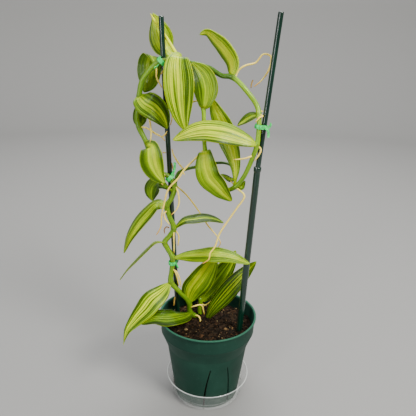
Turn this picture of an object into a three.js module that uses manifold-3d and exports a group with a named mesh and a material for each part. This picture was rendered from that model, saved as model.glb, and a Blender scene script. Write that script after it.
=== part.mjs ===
// Variegated vanilla vine on two stakes, in a slotted nursery pot that stands in a clear saucer.
// Millimetres, +Z up. The origin is the middle of the saucer's underside, and -Y is the front.
import * as THREE from 'three';
import { mergeVertices } from 'three/addons/utils/BufferGeometryUtils.js';
import Module from 'manifold-3d';

const wasm = await Module();
wasm.setup();

// Driving dimensions
const gap = 0.3;
const roundSides = 48;

const saucer = { footRadius: 41, rimRadius: 50, height: 26.8, wall: 0.9, floor: 1.5 };

const pot = {
  offsetX: -1,
  baseZ: saucer.floor + gap,
  rimZ: 107.2,
  rimRadius: 57.5,
  rimWidth: 2,
  rimDepth: 2.4,
  collarRadius: 55.8,
  collarFootRadius: 55.2,
  collarFootZ: 88.5,
  neckRadius: 48.1,
  neckZ: 70.5,
  baseRadius: 38.7,
  wall: 1.3,
  floor: 1.6,
};

const slit = { pairs: 3, firstTurn: 18, spread: 44, lean: 19, topZ: 61, width: 2.2, topWidth: 0.9, bands: 5 };

const soil = { topZ: 90, rings: 6, bump: 1.2 };

const stake = {
  radius: 2.75,
  sides: 12,
  leftFoot: [-34.9, 15, 30],
  leftTop: [-52.9, 9, 434],
  rightFoot: [32.6, -8.4, 18],
  rightJoint: [47.6, -11, 289],
  rightTop: [61.2, -13, 438],
  sleeveRadius: 3.6,
  collarRadius: 4.1,
  collarHeight: 5,
  plugDepth: 14,
};

const tie = { height: 4.4, thickness: 1, tailWidth: 2.6, tailThickness: 1.2 };

const stem = { radius: 3, tipRadius: 2.1, sides: 8, step: 8.5, nodeSwell: 0.15, nodeReach: 5, sideRadius: 2 };

const root = { radius: 1, sides: 6, step: 7, tip: 0.55 };

const leaf = {
  midrib: 1.9,
  margin: 0.8,
  stations: 9,
  halves: 4,
  stalkHalfWidth: 2.4,
  tipHalfWidth: 0.7,
  fullness: 0.72,
};

// Colours and finishes
function plastic(color, roughness, extra = {}) {
  return new THREE.MeshStandardMaterial({ color, roughness, metalness: 0, ...extra });
}
const finishes = {
  clearPlastic: plastic(0xdfe3e2, 0.12, { transparent: true, opacity: 0.3 }),
  potPlastic: plastic(0x2c4b3f, 0.5),
  soilMix: plastic(0x33261c, 0.95),
  stakeCoat: plastic(0x123c3a, 0.35),
  tieTape: plastic(0x6fb08a, 0.6),
  stemGreen: plastic(0x6f9a3a, 0.45),
  leafYoung: plastic(0x9fbd4a, 0.4),
  leafGreen: plastic(0x6f9427, 0.4),
  leafDark: plastic(0x45691f, 0.42),
  rootCream: plastic(0xc9b878, 0.7),
};

// Shape helpers
function vec(point) {
  return new THREE.Vector3(...point);
}

function weld(geometry) {
  const bare = geometry.clone();
  bare.deleteAttribute('normal');
  bare.deleteAttribute('uv');
  const merged = mergeVertices(bare, 1e-4);
  const index = merged.index.array;
  const kept = [];
  for (let i = 0; i < index.length; i += 3) {
    const [a, b, c] = [index[i], index[i + 1], index[i + 2]];
    if (a !== b && b !== c && c !== a) kept.push(a, b, c);
  }
  merged.setIndex(kept);
  return merged;
}

function toSolid(geometry) {
  const welded = weld(geometry);
  return new wasm.Manifold(new wasm.Mesh({
    numProp: 3,
    vertProperties: new Float32Array(welded.attributes.position.array),
    triVerts: new Uint32Array(welded.index.array),
  }));
}

function toGeometry(solid) {
  const { vertProperties, triVerts } = solid.getMesh();
  const geometry = new THREE.BufferGeometry();
  geometry.setAttribute('position', new THREE.BufferAttribute(new Float32Array(vertProperties), 3));
  geometry.setIndex(new THREE.BufferAttribute(new Uint32Array(triVerts), 1));
  return geometry;
}

// The largest body that is left of a solid after cuts.
function mainBody(solid) {
  const bodies = solid.decompose();
  return bodies.reduce((best, body) => (body.volume() > best.volume() ? body : best));
}

function turned(profile, sides = roundSides) {
  const points = profile.map(([r, z]) => new THREE.Vector2(r, z));
  return new THREE.LatheGeometry(points, sides).rotateX(Math.PI / 2);
}

function smoothPath(points) {
  return new THREE.CatmullRomCurve3(points.map(vec), false, 'centripetal');
}

// A closed tube along a path. size(share, place) scales the section from the start to the end.
function tube(path, radius, sides, step, size = () => 1) {
  const steps = Math.max(2, Math.round(path.getLength() / step));
  const section = new THREE.Shape();
  for (let i = 0; i < sides; i += 1) {
    const angle = (2 * Math.PI * i) / sides;
    const [x, y] = [radius * Math.cos(angle), radius * Math.sin(angle)];
    if (i === 0) section.moveTo(x, y);
    else section.lineTo(x, y);
  }
  const geometry = new THREE.ExtrudeGeometry(section, { steps, extrudePath: path, bevelEnabled: false });
  const centres = path.getSpacedPoints(steps);
  const places = geometry.attributes.position;
  const corner = new THREE.Vector3();
  for (let i = 0; i < places.count; i += 1) {
    corner.fromBufferAttribute(places, i);
    let ring = 0;
    for (let k = 1; k <= steps; k += 1) {
      if (corner.distanceToSquared(centres[k]) < corner.distanceToSquared(centres[ring])) ring = k;
    }
    corner.sub(centres[ring]).multiplyScalar(size(ring / steps, centres[ring])).add(centres[ring]);
    places.setXYZ(i, corner.x, corner.y, corner.z);
  }
  return geometry;
}

function rod(from, to, radius, sides = stake.sides) {
  const line = new THREE.LineCurve3(vec(from), vec(to));
  return tube(line, radius, sides, line.getLength());
}

// How wide a leaf is, as a share of its half width, from its stalk (0) to its tip (1).
function leafOutline(t, widest, fullness) {
  const power = Math.log(0.5) / Math.log(widest);
  return Math.sin(Math.PI * t ** power) ** fullness;
}

// A leaf blade with a thick midrib and thin margins. face is the way its upper side looks, at the stalk and at
// the tip. cup lifts the margins towards that side, and wave ripples them.
function blade(shape) {
  const { spine, width, widest = 0.42, face, tipFace = face, cup = 0, wave = 0, ripples = 2.5 } = shape;
  const { fullness = leaf.fullness, stations = leaf.stations, stalk = leaf.stalkHalfWidth } = shape;
  const path = smoothPath(spine);
  const columns = leaf.halves;
  const corners = [];
  for (let i = 0; i <= stations; i += 1) {
    const t = i / stations;
    const centre = path.getPointAt(t);
    const along = path.getTangentAt(t);
    const up = vec(face).lerp(vec(tipFace), t);
    up.addScaledVector(along, -up.dot(along)).normalize();
    const across = new THREE.Vector3().crossVectors(along, up);
    const body = (width / 2) * leafOutline(t, widest, fullness);
    const half = Math.max(body, stalk * Math.max(0, 1 - 4 * t), leaf.tipHalfWidth);
    for (const side of [1, -1]) {
      for (let j = 0; j <= columns; j += 1) {
        const u = (2 * j) / columns - 1;
        const swing = Math.sin(2 * Math.PI * ripples * t + (u > 0 ? 1.3 : 0));
        const ripple = wave * Math.abs(u) * swing * Math.sin(Math.PI * t);
        const lift = cup * half * u * u + ripple;
        const slim = THREE.MathUtils.lerp(leaf.midrib, leaf.margin, Math.abs(u)) / 2;
        const thick = Math.max(leaf.margin / 2, slim * (1 - 0.35 * t));
        corners.push(centre.clone().addScaledVector(across, u * half).addScaledVector(up, lift + side * thick));
      }
    }
  }
  const row = columns + 1;
  const at = (i, side, j) => i * 2 * row + (side > 0 ? 0 : row) + j;
  const faces = [];
  const quad = (a, b, c, d) => faces.push(a, b, c, a, c, d);
  for (let i = 0; i < stations; i += 1) {
    for (let j = 0; j < columns; j += 1) {
      quad(at(i, 1, j), at(i, 1, j + 1), at(i + 1, 1, j + 1), at(i + 1, 1, j));
      faces.push(at(i, -1, j), at(i + 1, -1, j + 1), at(i, -1, j + 1));
      faces.push(at(i, -1, j), at(i + 1, -1, j), at(i + 1, -1, j + 1));
    }
    quad(at(i, 1, 0), at(i + 1, 1, 0), at(i + 1, -1, 0), at(i, -1, 0));
    quad(at(i, -1, columns), at(i + 1, -1, columns), at(i + 1, 1, columns), at(i, 1, columns));
  }
  for (let j = 0; j < columns; j += 1) {
    quad(at(0, -1, j), at(0, -1, j + 1), at(0, 1, j + 1), at(0, 1, j));
    quad(at(stations, 1, j), at(stations, 1, j + 1), at(stations, -1, j + 1), at(stations, -1, j));
  }
  const geometry = new THREE.BufferGeometry().setFromPoints(corners);
  geometry.setIndex(faces);
  return geometry;
}

const plant = new THREE.Group();
function add(name, geometry, finish) {
  const mesh = new THREE.Mesh(geometry, finish);
  mesh.name = name;
  plant.add(mesh);
  return mesh;
}

// Saucer: a flared cup whose foot is stepped
const saucerProfile = [
  [0, 0],
  [saucer.footRadius - 1.2, 0],
  [saucer.footRadius, 0.8],
  [saucer.footRadius + 0.5, 3.4],
  [saucer.footRadius + 1.7, 4.4],
  [saucer.footRadius + 2.3, 8.6],
  [saucer.footRadius + 3.4, 9.6],
  [saucer.rimRadius - 1, saucer.height - 3],
  [saucer.rimRadius, saucer.height - 1],
  [saucer.rimRadius, saucer.height],
  [saucer.rimRadius - saucer.wall, saucer.height],
  [saucer.rimRadius - saucer.wall - 1, saucer.height - 3],
  [saucer.footRadius + 3.4 - saucer.wall, 10],
  [saucer.footRadius + 2.3 - saucer.wall, 9],
  [saucer.footRadius + 1.7 - saucer.wall, 4.8],
  [saucer.footRadius + 0.5 - saucer.wall, 3.8],
  [saucer.footRadius + 0.2 - saucer.wall, saucer.floor],
  [0, saucer.floor],
];
add('saucer', turned(saucerProfile), finishes.clearPlastic);

// Pot: rolled rim, straight collar, tapered body and closed floor
const potInner = [
  [0, pot.baseZ + pot.floor],
  [pot.baseRadius - pot.wall, pot.baseZ + pot.floor],
  [pot.neckRadius - pot.wall, pot.neckZ],
  [pot.collarFootRadius - pot.wall, pot.collarFootZ],
  [pot.collarRadius - pot.wall, pot.rimZ - pot.rimDepth],
  [pot.rimRadius - pot.rimWidth, pot.rimZ],
];
const potOuter = [
  [0, pot.baseZ],
  [pot.baseRadius - 1, pot.baseZ],
  [pot.baseRadius, pot.baseZ + 1.4],
  [pot.neckRadius, pot.neckZ],
  [pot.collarFootRadius, pot.collarFootZ],
  [pot.collarRadius, pot.rimZ - pot.rimDepth],
  [pot.rimRadius, pot.rimZ - pot.rimDepth + 0.5],
  [pot.rimRadius, pot.rimZ - 0.5],
  [pot.rimRadius - 0.6, pot.rimZ],
];

// One slit: a thin wedge that leans sideways as it rises, cut through the wall
function slitCutter(turn, leanWay) {
  const lower = [];
  const upper = [];
  for (let i = 0; i <= slit.bands; i += 1) {
    const share = i / slit.bands;
    const bow = THREE.MathUtils.degToRad(turn + leanWay * slit.lean * share ** 1.6) * pot.baseRadius;
    const half = THREE.MathUtils.lerp(slit.width, slit.topWidth, share) / 2;
    const height = THREE.MathUtils.lerp(pot.baseZ + pot.floor + 0.6, slit.topZ, share);
    lower.push([bow - half, height]);
    upper.unshift([bow + half, height]);
  }
  const outline = new THREE.Shape([...lower, ...upper].map(([x, y]) => new THREE.Vector2(x, y)));
  const depth = 24;
  const geometry = new THREE.ExtrudeGeometry(outline, { depth, steps: 1, bevelEnabled: false });
  const places = geometry.attributes.position;
  for (let i = 0; i < places.count; i += 1) {
    const angle = places.getX(i) / pot.baseRadius;
    const radius = pot.baseRadius - depth / 2 + places.getZ(i);
    places.setXYZ(i, radius * Math.sin(angle), -radius * Math.cos(angle), places.getY(i));
  }
  return toSolid(geometry);
}

let potSolid = toSolid(turned([...potOuter, ...[...potInner].reverse()]));
for (let k = 0; k < slit.pairs; k += 1) {
  const middle = slit.firstTurn + (360 / slit.pairs) * k;
  potSolid = potSolid.subtract(slitCutter(middle - slit.spread / 2, 0.5));
  potSolid = potSolid.subtract(slitCutter(middle + slit.spread / 2, -0.5));
}
add('pot', toGeometry(potSolid.translate([pot.offsetX, 0, 0])), finishes.potPlastic);

// Stakes
const leftStake = rod(stake.leftFoot, stake.leftTop, stake.radius);
add('stake_left', leftStake, finishes.stakeCoat);

const jointDown = vec(stake.rightJoint).sub(vec(stake.rightTop)).normalize();
const plugEnd = vec(stake.rightJoint).addScaledVector(jointDown, stake.plugDepth).toArray();
const upperStake = rod(plugEnd, stake.rightTop, stake.radius);
const plugBore = vec(stake.rightJoint).addScaledVector(jointDown, stake.plugDepth + gap).toArray();
const boreTop = vec(stake.rightJoint).addScaledVector(jointDown, -2 * stake.collarHeight).toArray();
const sleeveUp = vec(stake.rightJoint).sub(vec(stake.rightFoot)).normalize();
const collarFoot = vec(stake.rightJoint).addScaledVector(sleeveUp, -stake.collarHeight).toArray();
const lowerStake = toSolid(rod(stake.rightFoot, stake.rightJoint, stake.sleeveRadius))
  .add(toSolid(rod(collarFoot, stake.rightJoint, stake.collarRadius)))
  .subtract(toSolid(rod(plugBore, boreTop, stake.radius + gap)));
add('stake_right_lower', toGeometry(lowerStake), finishes.stakeCoat);
add('stake_right_upper', upperStake, finishes.stakeCoat);

// Vine: up the left stake, across to the right one, down it and back up the middle to the growing tip
const vinePoints = [
  [-12, 17, 78], [-14, 16, 90], [-22, 14, 98], [-24, 12, 114], [-35, 7, 131], [-45, 6, 144], [-44, 6, 160],
  [-43, 6, 175], [-49, 7, 187], [-52, 7, 194], [-46, 6, 203], [-41, 5, 212], [-46, 5, 226], [-49, 6, 238],
  [-43, 5, 249], [-40, 5, 262], [-47, 5, 273], [-56, 5, 277], [-64, 5, 294], [-71, 5, 312], [-76, 6, 322],
  [-79, 7, 333], [-78, 7, 345], [-76, 6, 357], [-73, 5, 371], [-67, 4, 380], [-59, 4, 388], [-50, 3, 392],
  [-36, 5, 391], [-21, 5, 390], [-5, 2, 386], [8, -2, 379], [18, -4, 378], [32, -9, 366], [44, -11, 350],
  [46, -14, 339], [46, -16, 328], [45, -17, 313], [42, -15, 301], [38, -13, 289], [33, -11, 277],
  [25, -8, 266], [17, -5, 262], [8, -3, 270], [-1, -2, 286], [-7, -3, 302], [-9, -4, 326], [-10, -4, 347],
  [-15, -3, 363], [-25, -2, 381], [-37, -1, 398],
];
const joints = {
  rimLeaf: [-22, 14, 98],
  lowFront: [-24, 12, 114],
  potLeft: [-45, 6, 144],
  across: [-43, 6, 175],
  edgeOn: [-52, 7, 194],
  middleRight: [-41, 5, 212],
  middleLeft: [-49, 6, 238],
  middleTie: [-40, 5, 264],
  heart: [-67, 5, 303],
  upperBack: [-77, 6, 325],
  upperLeft: [-76, 6, 357],
  topLeft: [-59, 4, 388],
  topRight: [18, -4, 378],
  smallRight: [45, -13, 343],
  levelFront: [45, -17, 313],
  upright: [25, -8, 266],
  twisted: [-7, -3, 302],
  cupped: [-10, -4, 347],
  tip: [-37, -1, 398],
};
const vinePath = smoothPath(vinePoints);
const jointPlaces = Object.values(joints).map(vec);

function vineSize(share, place) {
  const nearest = Math.min(...jointPlaces.map((joint) => joint.distanceTo(place)));
  const swell = 1 + stem.nodeSwell * Math.exp(-((nearest / stem.nodeReach) ** 2));
  return swell * THREE.MathUtils.lerp(1, stem.tipRadius / stem.radius, share);
}

const sidePoints = [
  joints.middleTie, [-36, 8, 276], [-27, 11, 280], [-13, 12, 283], [3, 11, 287], [13, 9, 288], [21, 6, 286],
  [26, 4, 278], [25, 3, 271],
];
const sidePath = smoothPath(sidePoints);
const lowPath = smoothPath([[-8, 24, 78], [-11, 24, 97], [-10, 24, 107], [-11, 24, 114]]);

function vineBody(extra) {
  const main = tube(vinePath, stem.radius + extra, stem.sides, stem.step, vineSize);
  const side = tube(sidePath, stem.sideRadius + extra, stem.sides, stem.step, (share) => 1 - 0.3 * share);
  return toSolid(main).add(toSolid(side));
}
const vineSolid = vineBody(0);
const vineClear = vineBody(gap + 0.15);
const lowClear = toSolid(tube(lowPath, stem.radius * 0.9 + gap + 0.15, stem.sides, stem.step));
add('vine', toGeometry(vineSolid), finishes.stemGreen);
add('stem_low', tube(lowPath, stem.radius * 0.9, stem.sides, stem.step), finishes.stemGreen);

// What leaves and roots are cut back from where they grow out of a stem
const stemsClear = vineClear.add(lowClear);

// Leaves. Each spine starts on the middle of the stem that carries the leaf.
const leaves = {
  leaf_pot_left: {
    spine: [joints.potLeft, [-55, -1, 135], [-66, -10, 129], [-73, -18, 122], [-81, -25, 115],
      [-87, -31, 109], [-91, -36, 104], [-95, -42, 89]],
    width: 27, widest: 0.36, fullness: 1.3, stalk: 3, face: [-0.2, -0.7, 0.7], cup: -0.14, wave: 0.6,
    finish: 'leafYoung',
  },
  leaf_over_rim: {
    spine: [joints.rimLeaf, [-27, 0, 104], [-36, -14, 110.5], [-47, -21, 113], [-61, -22, 113.5],
      [-77, -27, 107]],
    width: 25, widest: 0.5, face: [0.1, -0.2, 0.9], tipFace: [-0.1, -0.5, 0.9], cup: -0.04, wave: 0.5,
    finish: 'leafDark',
  },
  leaf_middle_left: {
    spine: [joints.middleLeft, [-60, 6, 241], [-71, 4, 232], [-83, 1, 218], [-92, -2, 202], [-97, -5, 185]],
    width: 25, face: [-0.5, -0.4, 0.8], tipFace: [-0.8, -0.5, 0.4], cup: -0.16, finish: 'leafGreen',
  },
  leaf_low_front: {
    spine: [joints.lowFront, [-22, 9, 125], [-18, 5, 137], [-11, 2, 149], [-3, 0, 164], [3, -1, 176],
      [8, 0, 185]],
    width: 31, widest: 0.45, face: [0, -1, 0.1], tipFace: [0.1, -0.9, -0.3], cup: 0.16, wave: 0.5,
    finish: 'leafGreen',
  },
  leaf_low_behind: {
    spine: [[-11, 24, 108], [-2, 24, 122], [7, 25, 135], [16, 26, 148], [25, 26, 163], [31, 25, 178]],
    width: 27, face: [0.1, -1, 0.2], tipFace: [0, -1, 0], cup: 0.14, finish: 'leafGreen',
  },
  leaf_low_right: {
    spine: [[0, 18, 80], [0, 17, 90], [6, 12, 106], [16, 8, 123], [27, 5, 140], [38, 4, 155], [54, 4, 174]],
    width: 22, widest: 0.55, face: [-0.5, -0.8, 0.3], tipFace: [-0.3, -0.9, 0.3], cup: 0.14,
    finish: 'leafDark',
  },
  leaf_low_across: {
    spine: [joints.across, [-27, 3, 180], [-10, -4, 185], [7, -11, 189], [24, -17, 189], [44, -22, 183]],
    width: 23, widest: 0.5, face: [-0.3, -0.4, 0.9], tipFace: [0, -0.4, 0.9], cup: -0.1, wave: 0.5,
    finish: 'leafGreen',
  },
  leaf_left_edge_on: {
    spine: [joints.edgeOn, [-62, 5, 195], [-73, 2, 186], [-84, -1, 175], [-94, -3, 164], [-103, -5, 151]],
    width: 22, face: [-0.6, 0.1, 0.8], cup: -0.06, finish: 'leafGreen',
  },
  leaf_middle_right: {
    spine: [joints.middleRight, [-30, 6, 222], [-19, 8, 224], [-7, 10, 225], [4, 11, 223], [15, 11, 218]],
    width: 20, widest: 0.5, face: [-0.2, -0.2, 1], tipFace: [0.2, -0.2, 1], cup: -0.12, finish: 'leafDark',
  },
  leaf_top_left: {
    spine: [joints.topLeft, [-61.5, 9, 393], [-64, 15, 396], [-66, 18, 391], [-67, 18, 382], [-68, 16, 370],
      [-72, 13, 360]],
    width: 25, widest: 0.55, face: [0, 0.2, 1], tipFace: [0.1, 1, 0.3], cup: 0.1, finish: 'leafDark',
  },
  leaf_upper_left: {
    spine: [joints.upperLeft, [-72, -1, 354], [-68, -3, 351], [-61, -4, 347], [-54, -4, 340], [-50, -3, 333],
      [-47, -2, 325]],
    width: 26, widest: 0.4, face: [0.2, -1, 0.2], tipFace: [0.3, -1, -0.1], cup: 0.14, stalk: 5,
    finish: 'leafGreen',
  },
  leaf_upper_back: {
    spine: [joints.upperBack, [-77, 13, 333], [-78, 15, 340], [-78, 15, 349]],
    width: 15, face: [0, -1, 0.3], cup: 0.16, finish: 'leafDark', stations: 6,
  },
  leaf_heart: {
    spine: [joints.heart, [-65, -2, 305], [-64, -4, 300], [-63, -5, 290], [-58, -4, 277], [-50, -3, 267]],
    width: 25, widest: 0.42, face: [0, -1, 0.2], tipFace: [0.1, -1, -0.1], cup: 0.2, stalk: 5,
    finish: 'leafYoung',
  },
  leaf_olive: {
    spine: [[-41, 5, 256], [-47, 2, 260], [-53, 2, 264], [-59, 3, 265.5], [-63.5, 4, 261], [-65.5, 4.5, 253],
      [-64.5, 5.5, 244]],
    width: 18, widest: 0.66, fullness: 0.85, face: [-0.1, -1, 0.2], tipFace: [-0.4, -1, 0], cup: 0.1,
    finish: 'leafDark',
  },
  leaf_top_back: {
    spine: [[-43, 3.9, 391.4], [-42.5, 10.5, 393], [-45.5, 18, 398], [-50.5, 20.5, 404], [-53, 20.5, 410],
      [-56, 20.5, 420], [-59, 20, 430], [-62, 18, 437]],
    width: 25, widest: 0.55, fullness: 1, face: [0.3, -0.2, 1], tipFace: [-0.1, -0.9, -0.4], cup: -0.1,
    finish: 'leafYoung',
  },
  leaf_top_front: {
    spine: [[-33, -1.5, 392], [-34.5, -7, 396], [-35, -11, 394], [-35, -15, 387], [-34, -17, 375],
      [-33, -18, 358], [-31, -17, 341], [-27, -15, 325]],
    width: 30, widest: 0.42, face: [0, -0.8, 0.7], tipFace: [0.1, -1, -0.2], cup: 0.1, wave: 0.4,
    finish: 'leafYoung', stalk: 4,
  },
  leaf_cupped: {
    spine: [joints.cupped, [-9, -8, 350], [-8, -9, 358], [-8, -9.5, 367], [-12, -9, 379], [-22, -7, 391]],
    width: 25, widest: 0.5, face: [0.1, -1, 0], cup: 0.3, finish: 'leafYoung',
  },
  leaf_top_right: {
    spine: [joints.topRight, [18, -1, 390], [11, 2, 402], [2, 5, 411], [-8, 7, 419], [-15, 7, 417]],
    width: 21, widest: 0.42, face: [-0.6, -0.7, -0.4], tipFace: [-0.2, -0.7, -0.7], cup: -0.1, wave: 0.4,
    finish: 'leafYoung',
  },
  leaf_long_upright: {
    spine: [joints.upright, [25, -9, 276], [25, -8, 286], [22, -5, 300], [17, -2, 314], [11, 1, 329],
      [4, 3, 343], [-3, 4, 359]],
    width: 23, widest: 0.58, face: [-0.5, -0.9, 0], tipFace: [-0.3, -0.9, -0.2], cup: 0.12, wave: 0.4,
    finish: 'leafGreen', stations: 11, fullness: 0.85,
  },
  leaf_small_right: {
    spine: [joints.smallRight, [37, -11, 340], [30, -10, 335], [25, -10, 331]],
    width: 12, face: [-0.6, -0.6, 0.6], cup: 0.1, finish: 'leafGreen', stations: 6,
  },
  leaf_level_front: {
    spine: [joints.levelFront, [40, -21, 316], [33, -22, 319], [19, -23, 324], [5, -24, 327], [-9, -24, 328],
      [-22, -23, 325], [-40, -21, 317]],
    width: 24, widest: 0.48, face: [0.1, -0.8, 0.6], tipFace: [0, -0.9, 0.5], cup: -0.08, wave: 0.6,
    finish: 'leafYoung', stations: 11,
  },
  leaf_twisted: {
    spine: [joints.twisted, [-7.5, -10, 303], [-7, -13, 297], [-5.5, -14, 287], [-2, -14, 277], [7, -14, 267],
      [22, -14, 252]],
    width: 25, widest: 0.48, fullness: 0.62, face: [-0.2, -0.8, 0.6], tipFace: [-0.3, -0.9, -0.3], cup: 0.12,
    wave: 1, finish: 'leafGreen', stalk: 5,
  },
  leaf_shoot_left: {
    spine: [[25, 3, 271], [20, 3, 271], [15, 3, 274], [10, 3, 277]],
    width: 7, face: [0.4, -0.7, 0.6], cup: 0.1, finish: 'leafDark', stations: 5, stalk: 1.6,
  },
  leaf_shoot_right: {
    spine: [[27, -8, 268], [32, -5, 265], [34, -4, 268], [36, -3, 272]],
    width: 7, face: [-0.5, -0.8, 0.4], cup: 0.1, finish: 'leafDark', stations: 5, stalk: 1.6,
  },
};
for (const [name, shape] of Object.entries(leaves)) {
  const solid = mainBody(toSolid(blade(shape)).subtract(stemsClear));
  add(name, toGeometry(solid), finishes[shape.finish]);
}

// The new leaf at the growing tip is still rolled to a spear
const spearPath = smoothPath([
  [-37.4, -0.4, 398.6], [-44, 8, 408], [-50, 14, 416], [-58, 16, 426], [-64, 15.5, 436],
]);
const spear = tube(spearPath, 1.7, 8, 6, (share) => 1 - 0.7 * Math.max(0, share - 0.5));
add('leaf_spear', toGeometry(mainBody(toSolid(spear).subtract(stemsClear))), finishes.leafYoung);

// Aerial roots, from the stem to their tips
const roots = {
  root_top_right: [[21, -5, 377], [25, -2, 385], [31, -2, 389], [41, -2, 392], [48, -4, 400], [55, -5, 398],
    [54, -5, 386], [47, -5, 375], [40, -4, 369]],
  root_long_front: [joints.upright, [35, -13, 258], [28, -14, 245], [20, -14, 232], [10, -15, 215],
    [5, -17, 200], [0, -19, 193], [-1, -20, 187], [-8, -20, 181]],
  root_from_twisted: [[-7.5, -1, 305], [-16, -1.5, 296], [-29, -5, 283], [-35, -5, 274], [-46, -4, 261],
    [-51, -3, 244], [-54, -3, 229], [-55, -2, 217], [-60, -3, 207]],
  root_middle_right: [joints.middleTie, [-27, 13, 249], [-13, 23, 226], [-3, 23, 210], [9, 18, 197],
    [12, 15, 191], [9, 14, 185]],
  root_middle_front: [joints.middleTie, [-36, 0, 256], [-35, -1, 244], [-39, -1, 235], [-44, 0, 230]],
  root_upper_left: [joints.upperBack, [-70, 4, 325], [-60, 5, 319], [-53, 5, 315], [-50, 6, 311]],
  root_upper_hanging: [[-77, 6, 351], [-71, 3, 344], [-66, 2, 335], [-64, 0, 321], [-65, 0, 309]],
  root_behind_leaf: [[-48, 4, 392], [-44, 1, 381], [-43, 0, 359], [-42, 1, 337], [-44, 3, 328]],
  root_top_left: [joints.topLeft, [-57, -1, 383], [-57, -1, 376], [-52, 1, 366]],
  root_by_stake: [[-30, 10, 279], [-35, 7, 286], [-41, 6, 296], [-43, 6, 303]],
  root_right_front: [joints.levelFront, [49, -19, 309], [47, -19, 303], [43, -19, 297]],
  root_right_back: [[42, -15, 302], [36, -18, 300], [29, -16, 298], [22, -14, 297]],
  root_right_loop: [joints.smallRight, [49, -17, 342], [46, -19, 341], [42, -19, 336]],
  root_left_small: [[-47.5, 5, 234], [-51.5, 1, 231.5], [-51, 0, 227], [-45, 0, 218]],
  root_stake_upper: [joints.middleRight, [-36, 8, 202], [-37, 8, 189]],
  root_stake_middle: [joints.middleRight, [-41, 1, 203], [-41, 3, 192], [-41, 4, 182]],
  root_stake_lower: [[-44, 6, 163], [-39, 6, 155], [-36, 8, 138]],
  root_low_hanging: [[-44, 6, 161], [-38, 1, 160], [-34, 2, 148], [-33, 4, 138]],
  root_base_front: [[-23, 12.5, 106], [-17, 8, 111], [-9, 9, 112], [-5, 10, 98]],
  root_base_right: [[-10, 24, 105], [-4, 21, 105], [3, 21, 111], [8, 21, 117]],
  root_base_tip: [[-18, 15, 94], [-12, 11, 95], [-10, 9, 92], [-10, 7, 84]],
};
for (const [name, points] of Object.entries(roots)) {
  const path = smoothPath(points);
  const wide = name === 'root_long_front' || name === 'root_from_twisted' ? 1.15 : 1;
  const taper = (share) => wide * THREE.MathUtils.lerp(1, root.tip, Math.max(0, share - 0.7) / 0.3);
  const solid = toSolid(tube(path, root.radius, root.sides, root.step, taper)).subtract(stemsClear);
  add(name, toGeometry(mainBody(solid)), finishes.rootCream);
}

// Twist ties: a flat band round stem and stake, with two tails
function band(half, radius) {
  const outline = new THREE.Path();
  outline.absarc(half, 0, radius, -Math.PI / 2, Math.PI / 2, false);
  outline.absarc(-half, 0, radius, Math.PI / 2, (3 * Math.PI) / 2, false);
  outline.closePath();
  return outline;
}

function tieRing({ onStem, onStake, axis, hold }) {
  const along = vec(axis).normalize();
  const reach = vec(onStake).sub(vec(onStem));
  reach.addScaledVector(along, -reach.dot(along));
  const half = reach.length() / 2;
  const outline = new THREE.Shape(band(half, hold + tie.thickness).getPoints(5));
  outline.holes.push(new THREE.Path(band(half, hold).getPoints(5)));
  const ring = new THREE.ExtrudeGeometry(outline, { depth: tie.height, steps: 1, bevelEnabled: false });
  ring.translate(0, 0, -tie.height / 2);
  const side = reach.normalize();
  const frame = new THREE.Matrix4().makeBasis(side, new THREE.Vector3().crossVectors(along, side), along);
  const middle = vec(onStem).add(vec(onStake)).multiplyScalar(0.5);
  return ring.applyMatrix4(frame.setPosition(middle));
}

function tieTail(points) {
  const [wide, thick] = [tie.tailWidth / 2, tie.tailThickness / 2];
  const section = new THREE.Shape([[-wide, -thick], [wide, -thick], [wide, thick], [-wide, thick]]
    .map(([x, y]) => new THREE.Vector2(x, y)));
  return new THREE.ExtrudeGeometry(section, { steps: 4, extrudePath: smoothPath(points), bevelEnabled: false });
}

const stakesClear = toSolid(rod(stake.leftFoot, stake.leftTop, stake.radius + gap))
  .add(toSolid(rod(plugEnd, stake.rightTop, stake.radius + gap)));
const ties = {
  tie_top: {
    onStem: [-53, 3.7, 391], onStake: [-51.1, 9.6, 391], axis: [0.75, 0, 0.66], hold: 4,
    tails: [[[-55, 0, 388], [-57, -2, 386], [-59, -3, 385]]],
  },
  tie_middle: {
    onStem: [-45.5, 5, 271.5], onStake: [-45, 11.3, 271], axis: [-0.7, 0, 0.7], hold: 4.2,
    tails: [[[-43, 1.5, 275], [-40, 1, 281], [-39.5, 2, 289]]],
  },
  tie_low: {
    onStem: [-43.4, 6, 169], onStake: [-41, 13, 169], axis: [0, 0, 1], hold: 3.5,
    tails: [[[-39.5, 6, 169], [-38, 3, 168], [-36, 1, 165]]],
  },
  tie_right: {
    onStem: [46, -15.4, 331], onStake: [51.4, -11.6, 331], axis: [0.15, 0, 1], hold: 3.5,
    tails: [[[52, -17, 331], [56, -17, 331], [58, -17, 335]], [[52, -17, 331], [55.5, -17, 327], [56, -17, 321]]],
  },
};
for (const [name, spec] of Object.entries(ties)) {
  let solid = toSolid(tieRing(spec));
  for (const points of spec.tails) solid = solid.add(toSolid(tieTail(points)));
  solid = solid.subtract(vineClear).subtract(stakesClear);
  add(name, toGeometry(mainBody(solid)), finishes.tieTape);
}

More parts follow.
